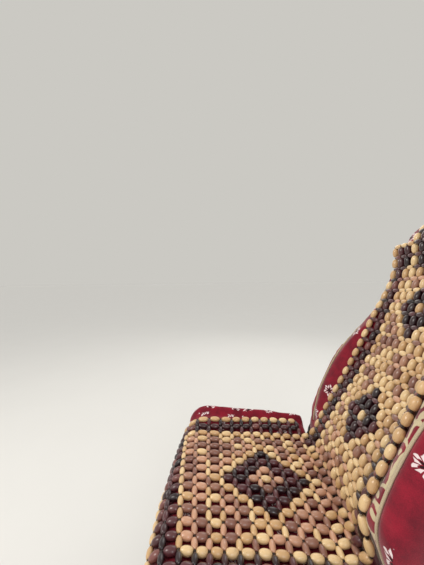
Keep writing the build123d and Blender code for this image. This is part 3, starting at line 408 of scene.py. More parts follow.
def painted(name, base, worn, rough, wearWidth, dust):
    mat, b, shader, here = newMaterial(name)
    grain, dusty, wear = aged(b, here, 0.0022, dust, wearWidth, 55.0)
    paint = b.blend(b.step(grain["Tone"], 0.35, 0.7), base, b.blend(0.25, base, (0.25, 0.25, 0.25, 1.0)))
    paint = b.blend(dusty, b.blend(wear, paint, worn), colour(140, 134, 124))
    b.feed(shader.inputs["Metallic"], b.scaled(wear, 0.8))
    surface(b, shader, paint, b.scaled(grain["Tone"], 0.25, rough - 0.1), grain["Height"], 0.12, 0.0004)
    return mat


def metal(name, base, stained, rough, streak):
    mat, b, shader, here = newMaterial(name, {"Metallic": 1.0})
    lines = b.noise(b.vector("MULTIPLY", here, streak), 60.0, 4.0, 0.6)
    grain, dusty = aged(b, here, 0.004, 0.35)
    skin = b.blend(b.step(grain["Tone"], 0.3, 0.75), base, stained)
    skin = b.blend(b.step(lines, 0.45, 0.8, 0.0, 0.3), skin, stained)
    skin = b.blend(dusty, skin, colour(150, 144, 134))
    surface(b, shader, skin, b.scaled(lines, 0.25, rough), lines, 0.06, 0.0003)
    return mat


def moulded(name, base, pebble, rough, dust):
    mat, b, shader, here = newMaterial(name, {"Specular IOR Level": 0.45})
    grain, dusty, wear = aged(b, here, pebble, dust, 0.002, 40.0)
    lighter = b.blend(0.35, base, (0.5, 0.5, 0.52, 1.0))
    skin = b.blend(b.step(grain["Tone"], 0.3, 0.75, 0.0, 0.25), base, lighter)
    skin = b.blend(dusty, b.blend(b.scaled(wear, 0.5), skin, lighter), colour(150, 146, 138))
    surface(b, shader, skin, b.scaled(grain["Tone"], 0.2, rough - 0.1), grain["Height"], 0.22, 0.0005)
    return mat


framePaint = painted("framePaint", colour(34, 34, 36), colour(150, 150, 148), 0.48, 0.0016, 0.35)
damperPaint = painted("damperPaint", colour(40, 41, 44), colour(150, 150, 148), 0.38, 0.001, 0.2)
zincSteel = metal("zincSteel", colour(176, 176, 170), colour(128, 126, 116), 0.34, (1.0, 1.0, 8.0))
brightSteel = metal("brightSteel", colour(196, 196, 196), colour(150, 148, 144), 0.2, (6.0, 1.0, 1.0))
shellPlastic = moulded("shellPlastic", colour(48, 50, 54), 0.0016, 0.58, 0.18)
leverPlastic = moulded("leverPlastic", colour(70, 71, 74), 0.001, 0.46, 0.12)
rollerNylon = moulded("rollerNylon", colour(200, 194, 176), 0.002, 0.4, 0.1)
springRubber = moulded("springRubber", colour(30, 30, 31), 0.0008, 0.66, 0.4)
releaseRed = moulded("releaseRed", colour(168, 26, 24), 0.0009, 0.4, 0.05)
gripRubber = moulded("gripRubber", colour(26, 26, 28), 0.0011, 0.7, 0.1)
print("materials ready,", len(bpy.data.materials))

dressing = {
    framePaint: ("base_pan", "lower_tracks", "top_plate", "upper_tracks", "seat_pan", "slide_bar",
                 "recliner_brackets", "recliner_arms"),
    zincSteel: ("inner_arms", "outer_arms", "inner_tubes", "outer_tubes", "slide_rails", "runners"),
    brightSteel: ("lower_pivots", "upper_pivots", "centre_pivots", "damper_bolt_low", "damper_bolt_high"),
    rollerNylon: ("upper_rollers", "lower_rollers"),
    springRubber: ("spring_piston", "spring_sleeve"),
    damperPaint: ("damper_tube", "damper_rod"),
    shellPlastic: ("back_shell", "side_trims", "pivot_caps", "buckle_stalk", "buckle"),
    leverPlastic: ("height_lever", "recline_lever", "damper_knob"),
}
for mat, names in dressing.items():
    for name in names:
        piece = nodes[name]
        if not piece.material_slots:
            piece.data.materials.append(mat)
        for slot in piece.material_slots:
            slot.material = mat
print("CAD pieces dressed")


def newObject(name, data):
    obj = bpy.data.objects.new(name, data)
    bpy.context.scene.collection.objects.link(obj)
    return obj


def meshFrom(name, verts, faces, shadeSmooth=True):
    mesh = bpy.data.meshes.new(name)
    mesh.from_pydata([tuple(v) for v in verts], [], faces)
    mesh.polygons.foreach_set("use_smooth", [shadeSmooth] * len(mesh.polygons))
    mesh.update()
    return newObject(name, mesh)


def bake(obj):
    # the evaluated shape becomes the piece's own plain mesh
    graph = bpy.context.evaluated_depsgraph_get()
    fresh = bpy.data.meshes.new_from_object(obj.evaluated_get(graph), depsgraph=graph)
    obj.modifiers.clear()
    obj.data = fresh
    return obj


def vectors(items, key):
    flatList = np.empty(len(items) * 3)
    items.foreach_get(key, flatList)
    return flatList.reshape(-1, 3)


def points(obj):
    return vectors(obj.data.vertices, "co")


def normalsOf(obj):
    return vectors(obj.data.vertex_normals, "vector")


def setPoints(obj, co):
    obj.data.vertices.foreach_set("co", np.ascontiguousarray(co).ravel())
    obj.data.update()


def settle(obj, body, slotName, *replaced):
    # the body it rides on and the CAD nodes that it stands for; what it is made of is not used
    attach(obj, body)
    if replaced:
        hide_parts(*replaced)


def foamFrom(name, nodeNames, shrink, voxel):
    # one closed skin round copies of the CAD solids
    joined = bmesh.new()
    for nodeName in nodeNames:
        joined.from_mesh(nodes[nodeName].data)
    bmesh.ops.remove_doubles(joined, verts=joined.verts, dist=1e-5)
    mesh = bpy.data.meshes.new(name)
    joined.to_mesh(mesh)
    joined.free()
    obj = newObject(name, mesh)
    remesh = obj.modifiers.new("skin", "REMESH")
    remesh.mode = "VOXEL"
    remesh.voxel_size = voxel
    relax = obj.modifiers.new("relax", "SMOOTH")
    relax.factor = 0.5
    relax.iterations = 6
    bake(obj)
    setPoints(obj, points(obj) - normalsOf(obj) * shrink)
    return obj


airLook = {"quality": 4, "mass": 0.3, "tension_stiffness": 8, "compression_stiffness": 8,
           "bending_stiffness": 0.5, "use_pressure": True, "vertex_group_mass": "held", "pin_stiffness": 1.0}
airFrames = 20


def swell(obj, held, pressure, cap):
    # air inside the skin rounds it where nothing holds it down
    start = points(obj).copy()
    group = obj.vertex_groups.new(name="held")
    for index, value in enumerate(held):
        group.add([index], float(value), "REPLACE")
    cloth = obj.modifiers.new("air", "CLOTH")
    for key, value in {**airLook, "uniform_pressure_force": pressure}.items():
        setattr(cloth.settings, key, value)
    cloth.settings.effector_weights.gravity = 0.0
    cloth.collision_settings.use_collision = False
    cloth.point_cache.frame_start = 1
    cloth.point_cache.frame_end = airFrames
    for f in range(1, airFrames + 1):
        bpy.context.scene.frame_set(f)
    bake(obj)
    obj.vertex_groups.clear()
    bpy.context.scene.frame_set(1)
    move = points(obj) - start
    length = np.linalg.norm(move, axis=1, keepdims=True)
    setPoints(obj, start + move * np.minimum(1.0, cap / np.maximum(length, 1e-9)))


def refine(obj):
    sub = obj.modifiers.new("smoothSkin", "SUBSURF")
    sub.levels = sub.render_levels = 1
    bake(obj)
    obj.data.polygons.foreach_set("use_smooth", [True] * len(obj.data.polygons))


def layUnderMat(obj):
    # the cushion's top takes the ridges and the fuller front edge that the mat follows
    ny, r = seatShape["noseY"], seatShape["noseRadius"]
    zc = cushionTop(ny) - r
    co = points(obj)
    for v, facing in zip(co, normalsOf(obj)):
        x, y, z = v
        if z < 0.36:
            continue
        if y >= ny:
            n, across, level = z - cushionTop(y), y, 0.0
        else:
            level = math.atan2(ny - y, max(z - zc, 0.0))
            n = math.hypot(ny - y, max(z - zc, 0.0)) - r
            across = ny - (r + seatShape["matLift"]) * math.sin(level)
        upright = facing[2] * math.cos(level) - facing[1] * math.sin(level)
        hold = smooth(upright, 0.25, 0.3) * smooth(n, -0.020, 0.010) * smooth(y, 0.169, -0.008)
        edge = smooth(abs(x), 0.233, 0.012) * seatShape["edgeCrest"][int(x > 0)]
        edge -= 20 * max(0.0, abs(x) - 0.240) ** 2
        clear = 0.001 * smooth(abs(x), 0.245, -0.012)
        push = hold * (rollHeight(x, across) + edge * math.cos(level) - clear - n)
        v[1] -= push * math.sin(level) + frontBow(x, y) * smooth(z, 0.36, 0.05)
        v[2] += push * math.cos(level)
        farEdge = smooth(x, -0.225, -0.025) * smooth(z, 0.44, 0.02) * smooth(y, 0.10, -0.05)
        v[0] -= seatShape["edgeOut"] * farEdge
        rearCorner = smooth(abs(x), 0.17, 0.03) * smooth(z, 0.40, 0.03) * smooth(y, 0.13, 0.04)
        v[1] += seatShape["rearFill"] * rearCorner
    setPoints(obj, co)


def leanWithMat(obj, halfWidth=0.0):
    # the back's front surface meets the mat and takes its turn towards the door
    co = points(obj)
    u, n = backPlace(co[:, 1], co[:, 2])
    for i, v in enumerate(co):
        move = 0.0
        if halfWidth:
            hold = smooth(abs(v[0]), halfWidth, -0.022) * smooth(n[i], 0.03, 0.012) * smooth(u[i], 0.03, 0.03)
            move = hold * smooth(u[i], 0.600, -0.02) * (padFront(u[i]) + bolsterHeight(v[0], u[i]) - n[i])
            move -= seatShape["footRoom"] * smooth(u[i], 0.060, -0.04) * smooth(n[i], 0.02, 0.02)
        move += backTwist(v[0], u[i]) * smooth(n[i] + move, 0.005, 0.05)
        v[1] -= move * leanCos
        v[2] += move * leanSin
    setPoints(obj, co)


def dent(obj, path, depth, width):
    # press a sewn channel along a path
    co = points(obj)
    nearest = np.full(len(co), 9.0)
    path = np.array(path)
    close = np.all((co > path.min(0) - 3 * width) & (co < path.max(0) + 3 * width), axis=1)
    for a, c in zip(path[:-1], path[1:]):
        run = c - a
        t = np.clip(((co[close] - a) @ run) / max(run @ run, 1e-12), 0, 1)
        d = np.linalg.norm(co[close] - (a + t[:, None] * run), axis=1)
        nearest[close] = np.minimum(nearest[close], d)
    press = depth * np.exp(-(nearest / width) ** 2)
    setPoints(obj, co - normalsOf(obj) * press[:, None])


def clothMap(obj, onBack):
    # a flat map in metres from the side each face looks to
    mesh = obj.data
    uv = mesh.uv_layers.new(name="cloth")
    co = points(obj)
    local = np.stack([co[:, 0], *backPlace(co[:, 1], co[:, 2])], 1) if onBack else co
    totals = np.empty(len(mesh.polygons), int)
    mesh.polygons.foreach_get("loop_total", totals)
    corner = np.empty(len(mesh.loops), int)
    mesh.loops.foreach_get("vertex_index", corner)
    side = np.abs(np.repeat(vectors(mesh.polygons, "normal"), totals, axis=0))[:, :1] > 0.75
    x, y, z = local[corner].T
    front = np.stack([x, y if onBack else y + (0.47 - z)], 1)
    uv.data.foreach_set("uv", np.where(side, np.stack([y, z], 1), front).ravel())


def paintMask(obj, values):
    # where the cover is the leafy cloth
    layer = obj.data.attributes.new("scrollBand", "FLOAT", "POINT")
    layer.data.foreach_set("value", values.astype(np.float32))


def skinOf(obj):
    return BVHTree.FromObject(obj, bpy.context.evaluated_depsgraph_get())


def onSkin(tree, path, lift, aim=None):
    # lay a path on a skin: straight along the aim, or else to the nearest place
    laid = []
    for p in path:
        found = tree.ray_cast(Vector(p) - aim(p) * 0.1, aim(p), 0.25) if aim else (None, None)
        spot, normal = found[:2] if found[0] else tree.find_nearest(Vector(p))[:2]
        laid.append(spot + normal * lift)
    return laid


def fromSide(p):
    return Vector((-1 if p[0] > 0 else 1, 0, 0))


def fromFront(p):
    return Vector((0, leanCos, -leanSin))


def ringFaces(rings, sides):
    # the faces of a tube given ring by ring, ends capped
    faces = []
    for i in range(rings - 1):
        for k in range(sides):
            a, c = i * sides + k, i * sides + (k + 1) % sides
            faces.append((a, c, c + sides, a + sides))
    return faces + [tuple(reversed(range(sides))), tuple(range((rings - 1) * sides, rings * sides))]


def pipe(name, path, radius, body, sides=8):
    # covered cord through the points
    verts, up = [], None
    for i, p in enumerate(path):
        ahead = (path[min(i + 1, len(path) - 1)] - path[max(i - 1, 0)]).normalized()
        if up is None:
            up = ahead.orthogonal().normalized()
        up = (up - ahead * up.dot(ahead)).normalized()
        side = ahead.cross(up)
        for k in range(sides):
            a = 2 * math.pi * k / sides
            verts.append(p + radius * (math.cos(a) * up + math.sin(a) * side))
    obj = meshFrom(name, verts, ringFaces(len(path), sides))
    obj.data.materials.append(pipingCloth)
    settle(obj, body, "velour")


def upholster(name, look, holdAt, layOver, seams, aim=None, leafAt=None):
    # a padded piece: foam skin, air, the lie of the mat, sewn channels with piping, and its cloth
    onBack = look["body"] == "backrest"
    obj = foamFrom(name, look["stands"], look["shrink"], look["voxel"])
    swell(obj, holdAt(*points(obj).T), look["pressure"], look["cap"])
    layOver(obj)
    refine(obj)
    skin = skinOf(obj)
    for run in seams.values():
        dent(obj, onSkin(skin, run, 0.0, aim), look["seamDepth"], look["seamWidth"])
    clothMap(obj, onBack)
    paintMask(obj, leafAt(*points(obj).T) if leafAt else np.zeros(len(obj.data.vertices)))
    obj.data.materials.append(coverVelour)
    settle(obj, look["body"], "velour", *look["stands"])
    skin = skinOf(obj)
    for pipingName, run in seams.items():
        pipe(pipingName, onSkin(skin, run, 0.0018, aim), look["piping"], look["body"])
    print(name, "done,", len(obj.data.polygons), "faces")


foamLook = {"shrink": 0.002, "pressure": 5.0, "cap": 0.024, "seamDepth": 0.0035, "seamWidth": 0.005,
            "piping": 0.0024, "fill": 0.75}
cushionLook = {**foamLook, "stands": ("seat_cushion", "seat_rolls"), "body": "seat", "voxel": 0.006,
               "seamX": 0.275, "seamSunk": 0.006}


def cushionHold(x, y, z):
    # under the mat, below the seam and at the rear
    underMat = ramp(np.abs(x), 0.236, -0.02) * ramp(z, 0.40, 0.03)
    return np.maximum.reduce([underMat, ramp(z, 0.436, -0.012), ramp(y, 0.15, 0.015)])


cushionSeams = {}
for name, side in (("cushionPiping1", -1), ("cushionPiping2", 1)):
    x, sunk = side * cushionLook["seamX"], cushionLook["seamSunk"]
    cushionSeams[name] = [(x, y, cushionTop(y) - sunk) for y in np.linspace(-0.17, 0.162, 90)]
upholster("seatCushion", cushionLook, cushionHold, layUnderMat, cushionSeams, fromSide)

backLook = {**foamLook, "stands": ("back_pad", "back_bolsters"), "body": "backrest", "voxel": 0.0075,
            "seamWidth": 0.006, "piping": 0.0026, "matHalf": 0.205, "leafFrom": 0.150}


def backHold(x, y, z):
    # under the mat, against the shell, at the foot and between the recliner arms
    u, n = backPlace(y, z)
    underMat = ramp(np.abs(x), backLook["matHalf"], -0.02) * ramp(n, 0.03, 0.01)
    byArms = ramp(n, 0.035, -0.02) * ramp(u, 0.24, -0.04)
    return np.maximum.reduce([underMat, ramp(n, -0.035, -0.008), ramp(u, 0.03, -0.02), byArms])


def leafBand(x, y, z):
    # on the door side's bolster, from the mat to the seam
    u, n = backPlace(y, z)
    seamAt = np.array([seamAcross(up) for up in u])
    across = ramp(x, backLook["leafFrom"], 0.01) * ramp(x - seamAt, 0.0, -0.003)
    return across * ramp(n, 0.06, 0.01) * ramp(u, 0.40, -0.03)


backSeams = {}
for name, side in (("backPiping1", -1), ("backPiping2", 1)):
    run = [(side * seamAcross(up), up) for up in np.linspace(0.052, 0.545, 90)]
    backSeams[name] = [(x, *backPoint(up, crestLine(up) + backTwist(x, up))) for x, up in run]
upholster("backCushion", backLook, backHold, lambda obj: leanWithMat(obj, backLook["matHalf"]), backSeams,
          fromFront, leafBand)

headLook = {**foamLook, "stands": ("headrest",), "body": "backrest", "voxel": 0.006, "cap": 0.022,
            "seamHalf": 0.132, "seamFoot": 0.63, "seamRise": 0.135, "seamOut": 0.062}


def headHold(x, y, z):
    u, n = backPlace(y, z)
    underMat = ramp(np.abs(x), 0.10, -0.02) * ramp(n, 0.05, 0.01)
    return np.maximum.reduce([underMat, ramp(n, -0.035, -0.008), ramp(u, 0.628, -0.012)])


headSeam = []
for a in math.pi * (1 - np.linspace(0, 1, 90)):
    x = headLook["seamHalf"] * max(-1, min(1, 1.35 * math.cos(a)))
    up = headLook["seamFoot"] + headLook["seamRise"] * min(1.0, 1.5 * math.sin(a))
    headSeam.append((x, *backPoint(up, headLook["seamOut"] + backTwist(x, up))))
upholster("headCushion", headLook, headHold, leanWithMat, {"headPiping": headSeam})

# the cushion cover's valance, gathered along its top edge
skirtLook = {"side": 0.2585, "front": -0.2255, "rearEnd": 0.100, "corner": 0.022, "top": 0.4335,
             "sideDrop": 0.070, "frontDrop": 0.116, "fold": 0.0022, "foldPitch": 0.058, "thick": 0.0016,
             "columns": 420, "rows": 18, "gather": 1.03, "hemRise": 0.004, "piping": 0.0024}
skirtStraight = skirtLook["rearEnd"] - skirtLook["front"] - skirtLook["corner"]
skirtQuarter = math.pi * skirtLook["corner"] / 2
skirtLength = 2 * (skirtStraight + skirtQuarter + skirtLook["side"] - skirtLook["corner"])


def skirtLine(s):
    # plan of the valance and its outward side: up one side, round the front and back down the other
    side, front, r = skirtLook["side"], skirtLook["front"], skirtLook["corner"]
    half = skirtLength / 2
    hand = 1 if s > half else -1
    s = half - abs(s - half)
    if s <= skirtStraight:
        return Vector((hand * side, skirtLook["rearEnd"] - s, 0)), Vector((hand, 0, 0))
    s -= skirtStraight
    if s <= skirtQuarter:
        out = Vector((hand * math.cos(s / r), -math.sin(s / r), 0))
        return Vector((hand * (side - r), front + r, 0)) + out * r, out
    return Vector((hand * (side - r - (s - skirtQuarter)), front, 0)), Vector((0, -1, 0))


look = skirtLook
verts, faces, uvs, topLine = [], [], [], []
for i in range(look["columns"] + 1):
    s = skirtLength * i / look["columns"]
    spot, out = skirtLine(s)
    toFront = smooth(spot.y, look["front"] + look["corner"], -look["corner"])
    spot.y -= frontBow(spot.x, look["front"]) * toFront
    topLine.append(spot + out * 0.0022 + Vector((0, 0, look["top"] + 0.0005)))
    deeper = smooth(spot.y - look["front"], 0.10, -0.10)
    drop = look["sideDrop"] + (look["frontDrop"] - look["sideDrop"]) * deeper
    drop -= look["hemRise"] * (0.5 + 0.5 * math.sin(s * 23.0) * math.sin(s * 9.0 + 1.0))
    wave = math.sin(2 * math.pi * s / look["foldPitch"] + 0.8 * math.sin(s * 11.0))
    for j in range(look["rows"] + 1):
        t = j / look["rows"]
        lift = look["fold"] * (0.25 + 0.75 * t) * wave + 0.0012 * t
        verts.append(spot + out * (lift + 0.0005) + Vector((0, 0, look["top"] - drop * t)))
        uvs.append((s, -drop * t))
for i in range(look["columns"]):
    for j in range(look["rows"]):
        a = i * (look["rows"] + 1) + j
        c = a + look["rows"] + 1
        faces.append((a, a + 1, c + 1, c))
coverSkirt = meshFrom("coverSkirt", verts, faces)
layer = coverSkirt.data.uv_layers.new(name="cloth")
corner = np.empty(len(coverSkirt.data.loops), int)
coverSkirt.data.loops.foreach_get("vertex_index", corner)
layer.data.foreach_set("uv", np.array(uvs)[corner].ravel())
paintMask(coverSkirt, np.zeros(len(verts)))
wall = coverSkirt.modifiers.new("thickness", "SOLIDIFY")
wall.thickness = look["thick"]
wall.offset = 0.0
bake(coverSkirt)
coverSkirt.data.materials.clear()
coverSkirt.data.materials.append(coverVelour)
settle(coverSkirt, "seat", "velour", "cover_skirt")
pipe("skirtPiping", topLine[::2], look["piping"], "seat")

edgeRings = ((0.25, 0), (2.25, 2), (3.25, 0))  # reach of a ring in cells, its stain
matLook = {
    "pitchAlong": 0.03115,
    "pitchAcross": 0.02768,
    "sizes": {"Bead Length": 0.0240, "Bead Width": 0.0150, "Cord Radius": 0.0008, "Shade Knot Radius": 0.0034},
    "alongBuild": (0.0166, 0.82),  # width, and share of the cell filled
    "acrossBuild": (0.0138, 0.82),
    "skew": 0.049,  # the mat lies a little turned on the cushion
    "drift": 0.010,  # it lies nearer the door in front,
    "slip": 0.0222,  # has slid towards the door on the back
    "tuck": 0.0237,  # and hangs lower over the front at its far corner
    "rows": 17,
    "seatColumns": 12,  # last column before the bend
    "backColumns": (15, 33),
    "stripTop": 39,
    "diamonds": ((8, ((0.25, 0), (1.25, 1), (3.25, 2), (4.25, 0))), (19, edgeRings), (28, edgeRings)),
    "bendStart": 0.138,  # where the mat leaves the cushion, and how far up the back it lies flat again
    "bendEnd": 0.075,
    "bendPull": 0.088,
}


def matProfile():
    # middle line of the mat from the front edge of the cushion to the top of the headrest
    h, run = seatShape["matLift"], []
    ny, r = seatShape["noseY"], seatShape["noseRadius"]
    zc = cushionTop(ny) - r
    for a in np.radians(np.linspace(84, 0, 16)):
        run.append((ny - (r + h) * math.sin(a), zc + (r + h) * math.cos(a)))
    for y in np.arange(ny + 0.010, 0.135, 0.010):
        run.append((y, cushionTop(y) + h))
    leave, upTo, pull = matLook["bendStart"], matLook["bendEnd"], matLook["bendPull"]
    start = np.array([leave, cushionTop(leave) + h])
    end = np.array(backPoint(upTo, padFront(upTo) + h))
    later = np.array(backPoint(upTo + 0.002, padFront(upTo + 0.002) + h))
    dirStart = np.array([1.0, -seatShape["cushionFall"]])
    dirEnd = (later - end) / np.linalg.norm(later - end)
    for t in np.linspace(0, 1, 13):
        h0, h1 = 2 * t ** 3 - 3 * t ** 2 + 1, t ** 3 - 2 * t ** 2 + t
        h2, h3 = -2 * t ** 3 + 3 * t ** 2, t ** 3 - t ** 2
        run.append(tuple(h0 * start + h1 * dirStart * pull + h2 * end + h3 * dirEnd * pull))
    for up in np.arange(upTo + 0.008, 0.736, 0.008):
        run.append(backPoint(up, padFront(min(up, 0.723)) + h))
    return np.array(run)


matRun = matProfile()
runLength = np.concatenate([[0], np.cumsum(np.linalg.norm(np.diff(matRun, axis=0), axis=1))])
middleLength = runLength[int(np.argmax((matRun[:, 0] >= 0.010) & (matRun[:, 1] > 0.4)))]


def runAt(s):
    # y and z of the middle line, this far along it
    return np.array([np.interp(s, runLength, matRun[:, 0]), np.interp(s, runLength, matRun[:, 1])])


def matPoint(column, row):
    # where a spot of the mat lies, counted in cells along and across it
    across = (row - 8) * matLook["pitchAcross"]
    ahead = (column - 8) * matLook["pitchAlong"]
    s = middleLength + ahead + across * math.sin(matLook["skew"])
    s += matLook["tuck"] * (across / 0.219) * smooth(ahead, -0.06, -0.16)
    across = across * math.cos(matLook["skew"]) - min(ahead, 0.15) * math.sin(matLook["skew"])
    s = min(max(s, 0.0), runLength[-1] - 0.001)
    y, z = runAt(s)
    ty, tz = runAt(s + 0.004) - runAt(s - 0.004)
    ny, nz = -tz / math.hypot(ty, tz), ty / math.hypot(ty, tz)
    u, _ = backPlace(y, z)
    onBack = smooth(z, 0.470, 0.030) * smooth(y, 0.09, 0.03)
    across += matLook["slip"] * onBack + matLook["drift"] * smooth(y, 0.03, -0.17)
    sign = 1 if across >= 0 else -1

    def lift(x):
        return bolsterHeight(x, u) * onBack + rollHeight(sign * x, y) * (1 - onBack)

    # walk outwards over the swell until the mat's own width is used up
    x, left, last, pace = 0.0, abs(across), lift(0.0), 0.004
    while left > 0 and x < 0.26:
        now = lift(x + pace)
        taken = math.hypot(pace, now - last)
        if taken >= left:
            x += pace * left / taken
            break
        left -= taken
        x += pace
        last = now
    slope = (lift(x + 0.003) - lift(max(x - 0.003, 0.0))) / 0.006
    up = lift(x) + backTwist(sign * x, u) * onBack + seatShape["matLift"] * (math.hypot(1, slope) - 1)
    return Vector((sign * x, float(y) + ny * up - frontBow(x, y), float(z) + nz * up))


def stainOf(row, column):
    # the border bands, the three diamonds and the mixed field
    if column < 12.6:
        inside = min(row, 16 - row, column + 0.5)
    elif column < 33.6 and not (5 <= row <= 11 and column > 31):
        inside = min(row - 2, 14 - row, 33.5 - column) if column > 14 else min(row - 2, 14 - row)
    else:
        inside = min(row - 5, 11 - row, matLook["stripTop"] + 0.5 - column)
    roll = random.random()
    for centre, rings in matLook["diamonds"]:
        for reach, stain in rings:
            if abs(row - 8) + abs(column - centre) < reach:
                return stain
    if inside < 0.25 or 1.75 <= inside < 2.25:
        return 0
    if inside < 1.75:
        return 3 if roll < 0.22 else 2
    paleShare = 0.25 if column < 14 else 0.55
    return 0 if roll < paleShare else 1


def hasBead(row, column):
    # the mat's outline, in cells; row and column of a bead's middle
    edgeAt = 0 if column <= matLook["seatColumns"] + 0.5 else 2
    if column > matLook["backColumns"][1] + 0.5:
        edgeAt = 5
    return edgeAt <= row <= 16 - edgeAt


def finished(bench, geometry, finish):
    real = bench.out("RealizeInstances", {"Geometry": geometry})
    return bench.out("SetMaterial", {"Geometry": real, "Material": finish})


def beadTree():
    inputs = {"Geometry": "Geometry", **matLook["sizes"], "Seed": 3, "Bead Finish": "Material",
              "Cord Finish": "Material", "Knot Shade Finish": "Material"}
    tree, b, gin, gout = newGroup("strungBeads", inputs, ("Geometry",), "Geometry")

    def edgeVector(name):
        return b.out("InputNamedAttribute", {"Name": name}, data_type="FLOAT_VECTOR")

    def scatter(low, high):
        limits = {"Min": low, "Max": high, "Seed": gin["Seed"]}
        return b.out("RandomValue", limits, data_type="FLOAT_VECTOR")

    # one bead along Z, fuller than an egg, with flat ends; the drilled hole is not cut but painted as shade
    # in the wood
    ball = b.add("MeshUVSphere", {"Segments": 12, "Rings": 8, "Radius": 1.0}).outputs["Mesh"]
    where = b.out("InputPosition")
    xyz = b.split(where)
    capped = b.out("Clamp", {"Value": b.scaled(xyz[2], 0.93), "Min": -0.84, "Max": 0.84})
    plump = b.scaled(b.scaled(xyz[2], xyz[2]), 0.16, 0.98)
    wide = b.scaled(plump, b.scaled(gin["Bead Width"], 0.5))
    shaped = b.out("CombineXYZ", {0: b.scaled(xyz[0], wide), 1: b.scaled(xyz[1], wide),
                                  2: b.scaled(capped, b.scaled(gin["Bead Length"], 0.595))})
    marked = b.out("StoreNamedAttribute", {"Geometry": ball, "Name": "grainCo", "Value": where},
                   data_type="FLOAT_VECTOR", domain="POINT")
    bead = b.out("SetPosition", {"Geometry": marked, "Position": shaped})

    # a bead on every edge of the lattice, turned along it
    spots = b.out("MeshToPoints", {"Mesh": gin["Geometry"]}, mode="EDGES")
    aim = b.out("AlignRotationToVector", {"Vector": edgeVector("run")}, axis="Z")
    loose = b.out("EulerToRotation", {0: scatter((-0.07, -0.07, -3.1), (0.07, 0.07, 3.1))})
    turned = b.out("RotateRotation", {0: aim, 1: loose}, rotation_space="LOCAL")
    sizes = b.vector("MULTIPLY", edgeVector("build"), scatter((0.93, 0.93, 0.94), (1.05, 1.05, 1.03)))
    strung = b.out("InstanceOnPoints", {"Points": spots, "Instance": bead, "Rotation": turned,
                                        "Scale": sizes})
    luckSeed = b.sum("ADD", gin["Seed"], 11.0)
    luck = b.add("RandomValue", {"Seed": luckSeed}, data_type="FLOAT").outputs[1]
    strung = b.out("StoreNamedAttribute", {"Geometry": strung, "Name": "luck", "Value": luck},
                   data_type="FLOAT", domain="INSTANCE")
    beads = b.out("SetShadeSmooth", {"Geometry": finished(b, strung, gin["Bead Finish"])})

    # the line through them, and at each crossing of the lines a dark ball that paints the shade in the gap
    # between the beads
    line = b.out("MeshToCurve", {"Mesh": gin["Geometry"]})
    ringShape = b.out("CurvePrimitiveCircle", {"Resolution": 5, "Radius": gin["Cord Radius"]})
    cord = b.out("CurveToMesh", {"Curve": line, "Profile Curve": ringShape, "Fill Caps": True})
    pip = b.add("MeshIcoSphere", {"Radius": gin["Shade Knot Radius"], "Subdivisions": 1}).outputs["Mesh"]
    shadeKnots = b.out("InstanceOnPoints", {"Points": gin["Geometry"], "Instance": pip})
    joined = b.add("JoinGeometry")
    for piece in (beads, finished(b, cord, gin["Cord Finish"]), finished(b, shadeKnots, gin["Knot Shade Finish"])):
        tree.links.new(piece, joined.inputs[0])
    b.feed(gout[0], joined.outputs[0])
    return tree


def growFrom(name, mesh, tree, values):
    # the tree's result on this mesh, with its inputs set by their sockets
    obj = newObject(name, mesh)
    grown = obj.modifiers.new("grown", "NODES")
    grown.node_group = tree
    for item in tree.interface.items_tree:
        if item.item_type == "SOCKET" and item.in_out == "INPUT" and item.name in values:
            grown[item.identifier] = values[item.name]
    return bake(obj)


strungBeads = beadTree()


def matPiece(name, keep, seed):
    # lattice of knots at half columns; string beads run along, cross beads run across
    index, verts, edges, tones, builds = {}, [], [], [], []

    def knot(row, column):
        if (row, column) not in index:
            index[(row, column)] = len(verts)
            verts.append(matPoint(column, row))
        return index[(row, column)]

    def string(a, c, tone, build):
        width, share = matLook[build]
        sizes = matLook["sizes"]
        edges.append((a, c))
        tones.append(tone)
        longer = share * (verts[a] - verts[c]).length / sizes["Bead Length"]
        builds.append((width / sizes["Bead Width"], width / sizes["Bead Width"], longer))

    for column in range(matLook["stripTop"] + 1):
        for row in range(matLook["rows"]):
            if hasBead(row, column) and keep(column):
                string(knot(row, column - 0.5), knot(row, column + 0.5), stainOf(row, column), "alongBuild")
    for half in range(-1, matLook["stripTop"] + 1):
        column = half + 0.5
        for row in range(matLook["rows"] - 1):
            middle = row + 0.5
            before = column - 0.5 if column > 0 else column + 0.5
            if keep(column) and (hasBead(middle, before) or hasBead(middle, column)):
                string(knot(row, column), knot(row + 1, column), stainOf(middle, column), "acrossBuild")
    mesh = bpy.data.meshes.new(name)
    mesh.from_pydata(verts, edges, [])
    mesh.update()
    runs = [verts[c] - verts[a] for a, c in edges]
    layers = (("run", "vector", runs), ("build", "vector", builds), ("tone", "value", tones))
    for label, key, values in layers:
        layer = mesh.attributes.new(label, "FLOAT_VECTOR" if key == "vector" else "FLOAT", "EDGE")
        layer.data.foreach_set(key, np.array(values, np.float32).ravel())
    obj = growFrom(name, mesh, strungBeads, {**matLook["sizes"], "Seed": seed, "Bead Finish": beadWood,
                                             "Cord Finish": nylonLine, "Knot Shade Finish": knotGapShade})
    print(name, "has", len(edges), "beads and", len(obj.data.polygons), "faces")
    return obj


bendFrom = matLook["seatColumns"] + 0.75
bendTo = matLook["backColumns"][0] - 0.75
beadMatSeat = matPiece("beadMatSeat", lambda column: column < bendFrom, 3)
beadMatBend = matPiece("beadMatBend", lambda column: bendFrom <= column < bendTo, 5)
beadMatBack = matPiece("beadMatBack", lambda column: column >= bendTo, 8)
settle(beadMatSeat, "seat", "bead_light", "bead_mat_seat")
settle(beadMatBack, "backrest", "bead_light", "bead_mat_back")
tuple(matPoint(12.5, 8))
tuple(matPoint(14.6, 8))
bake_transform(beadMatBend)
print("bead mat strung")


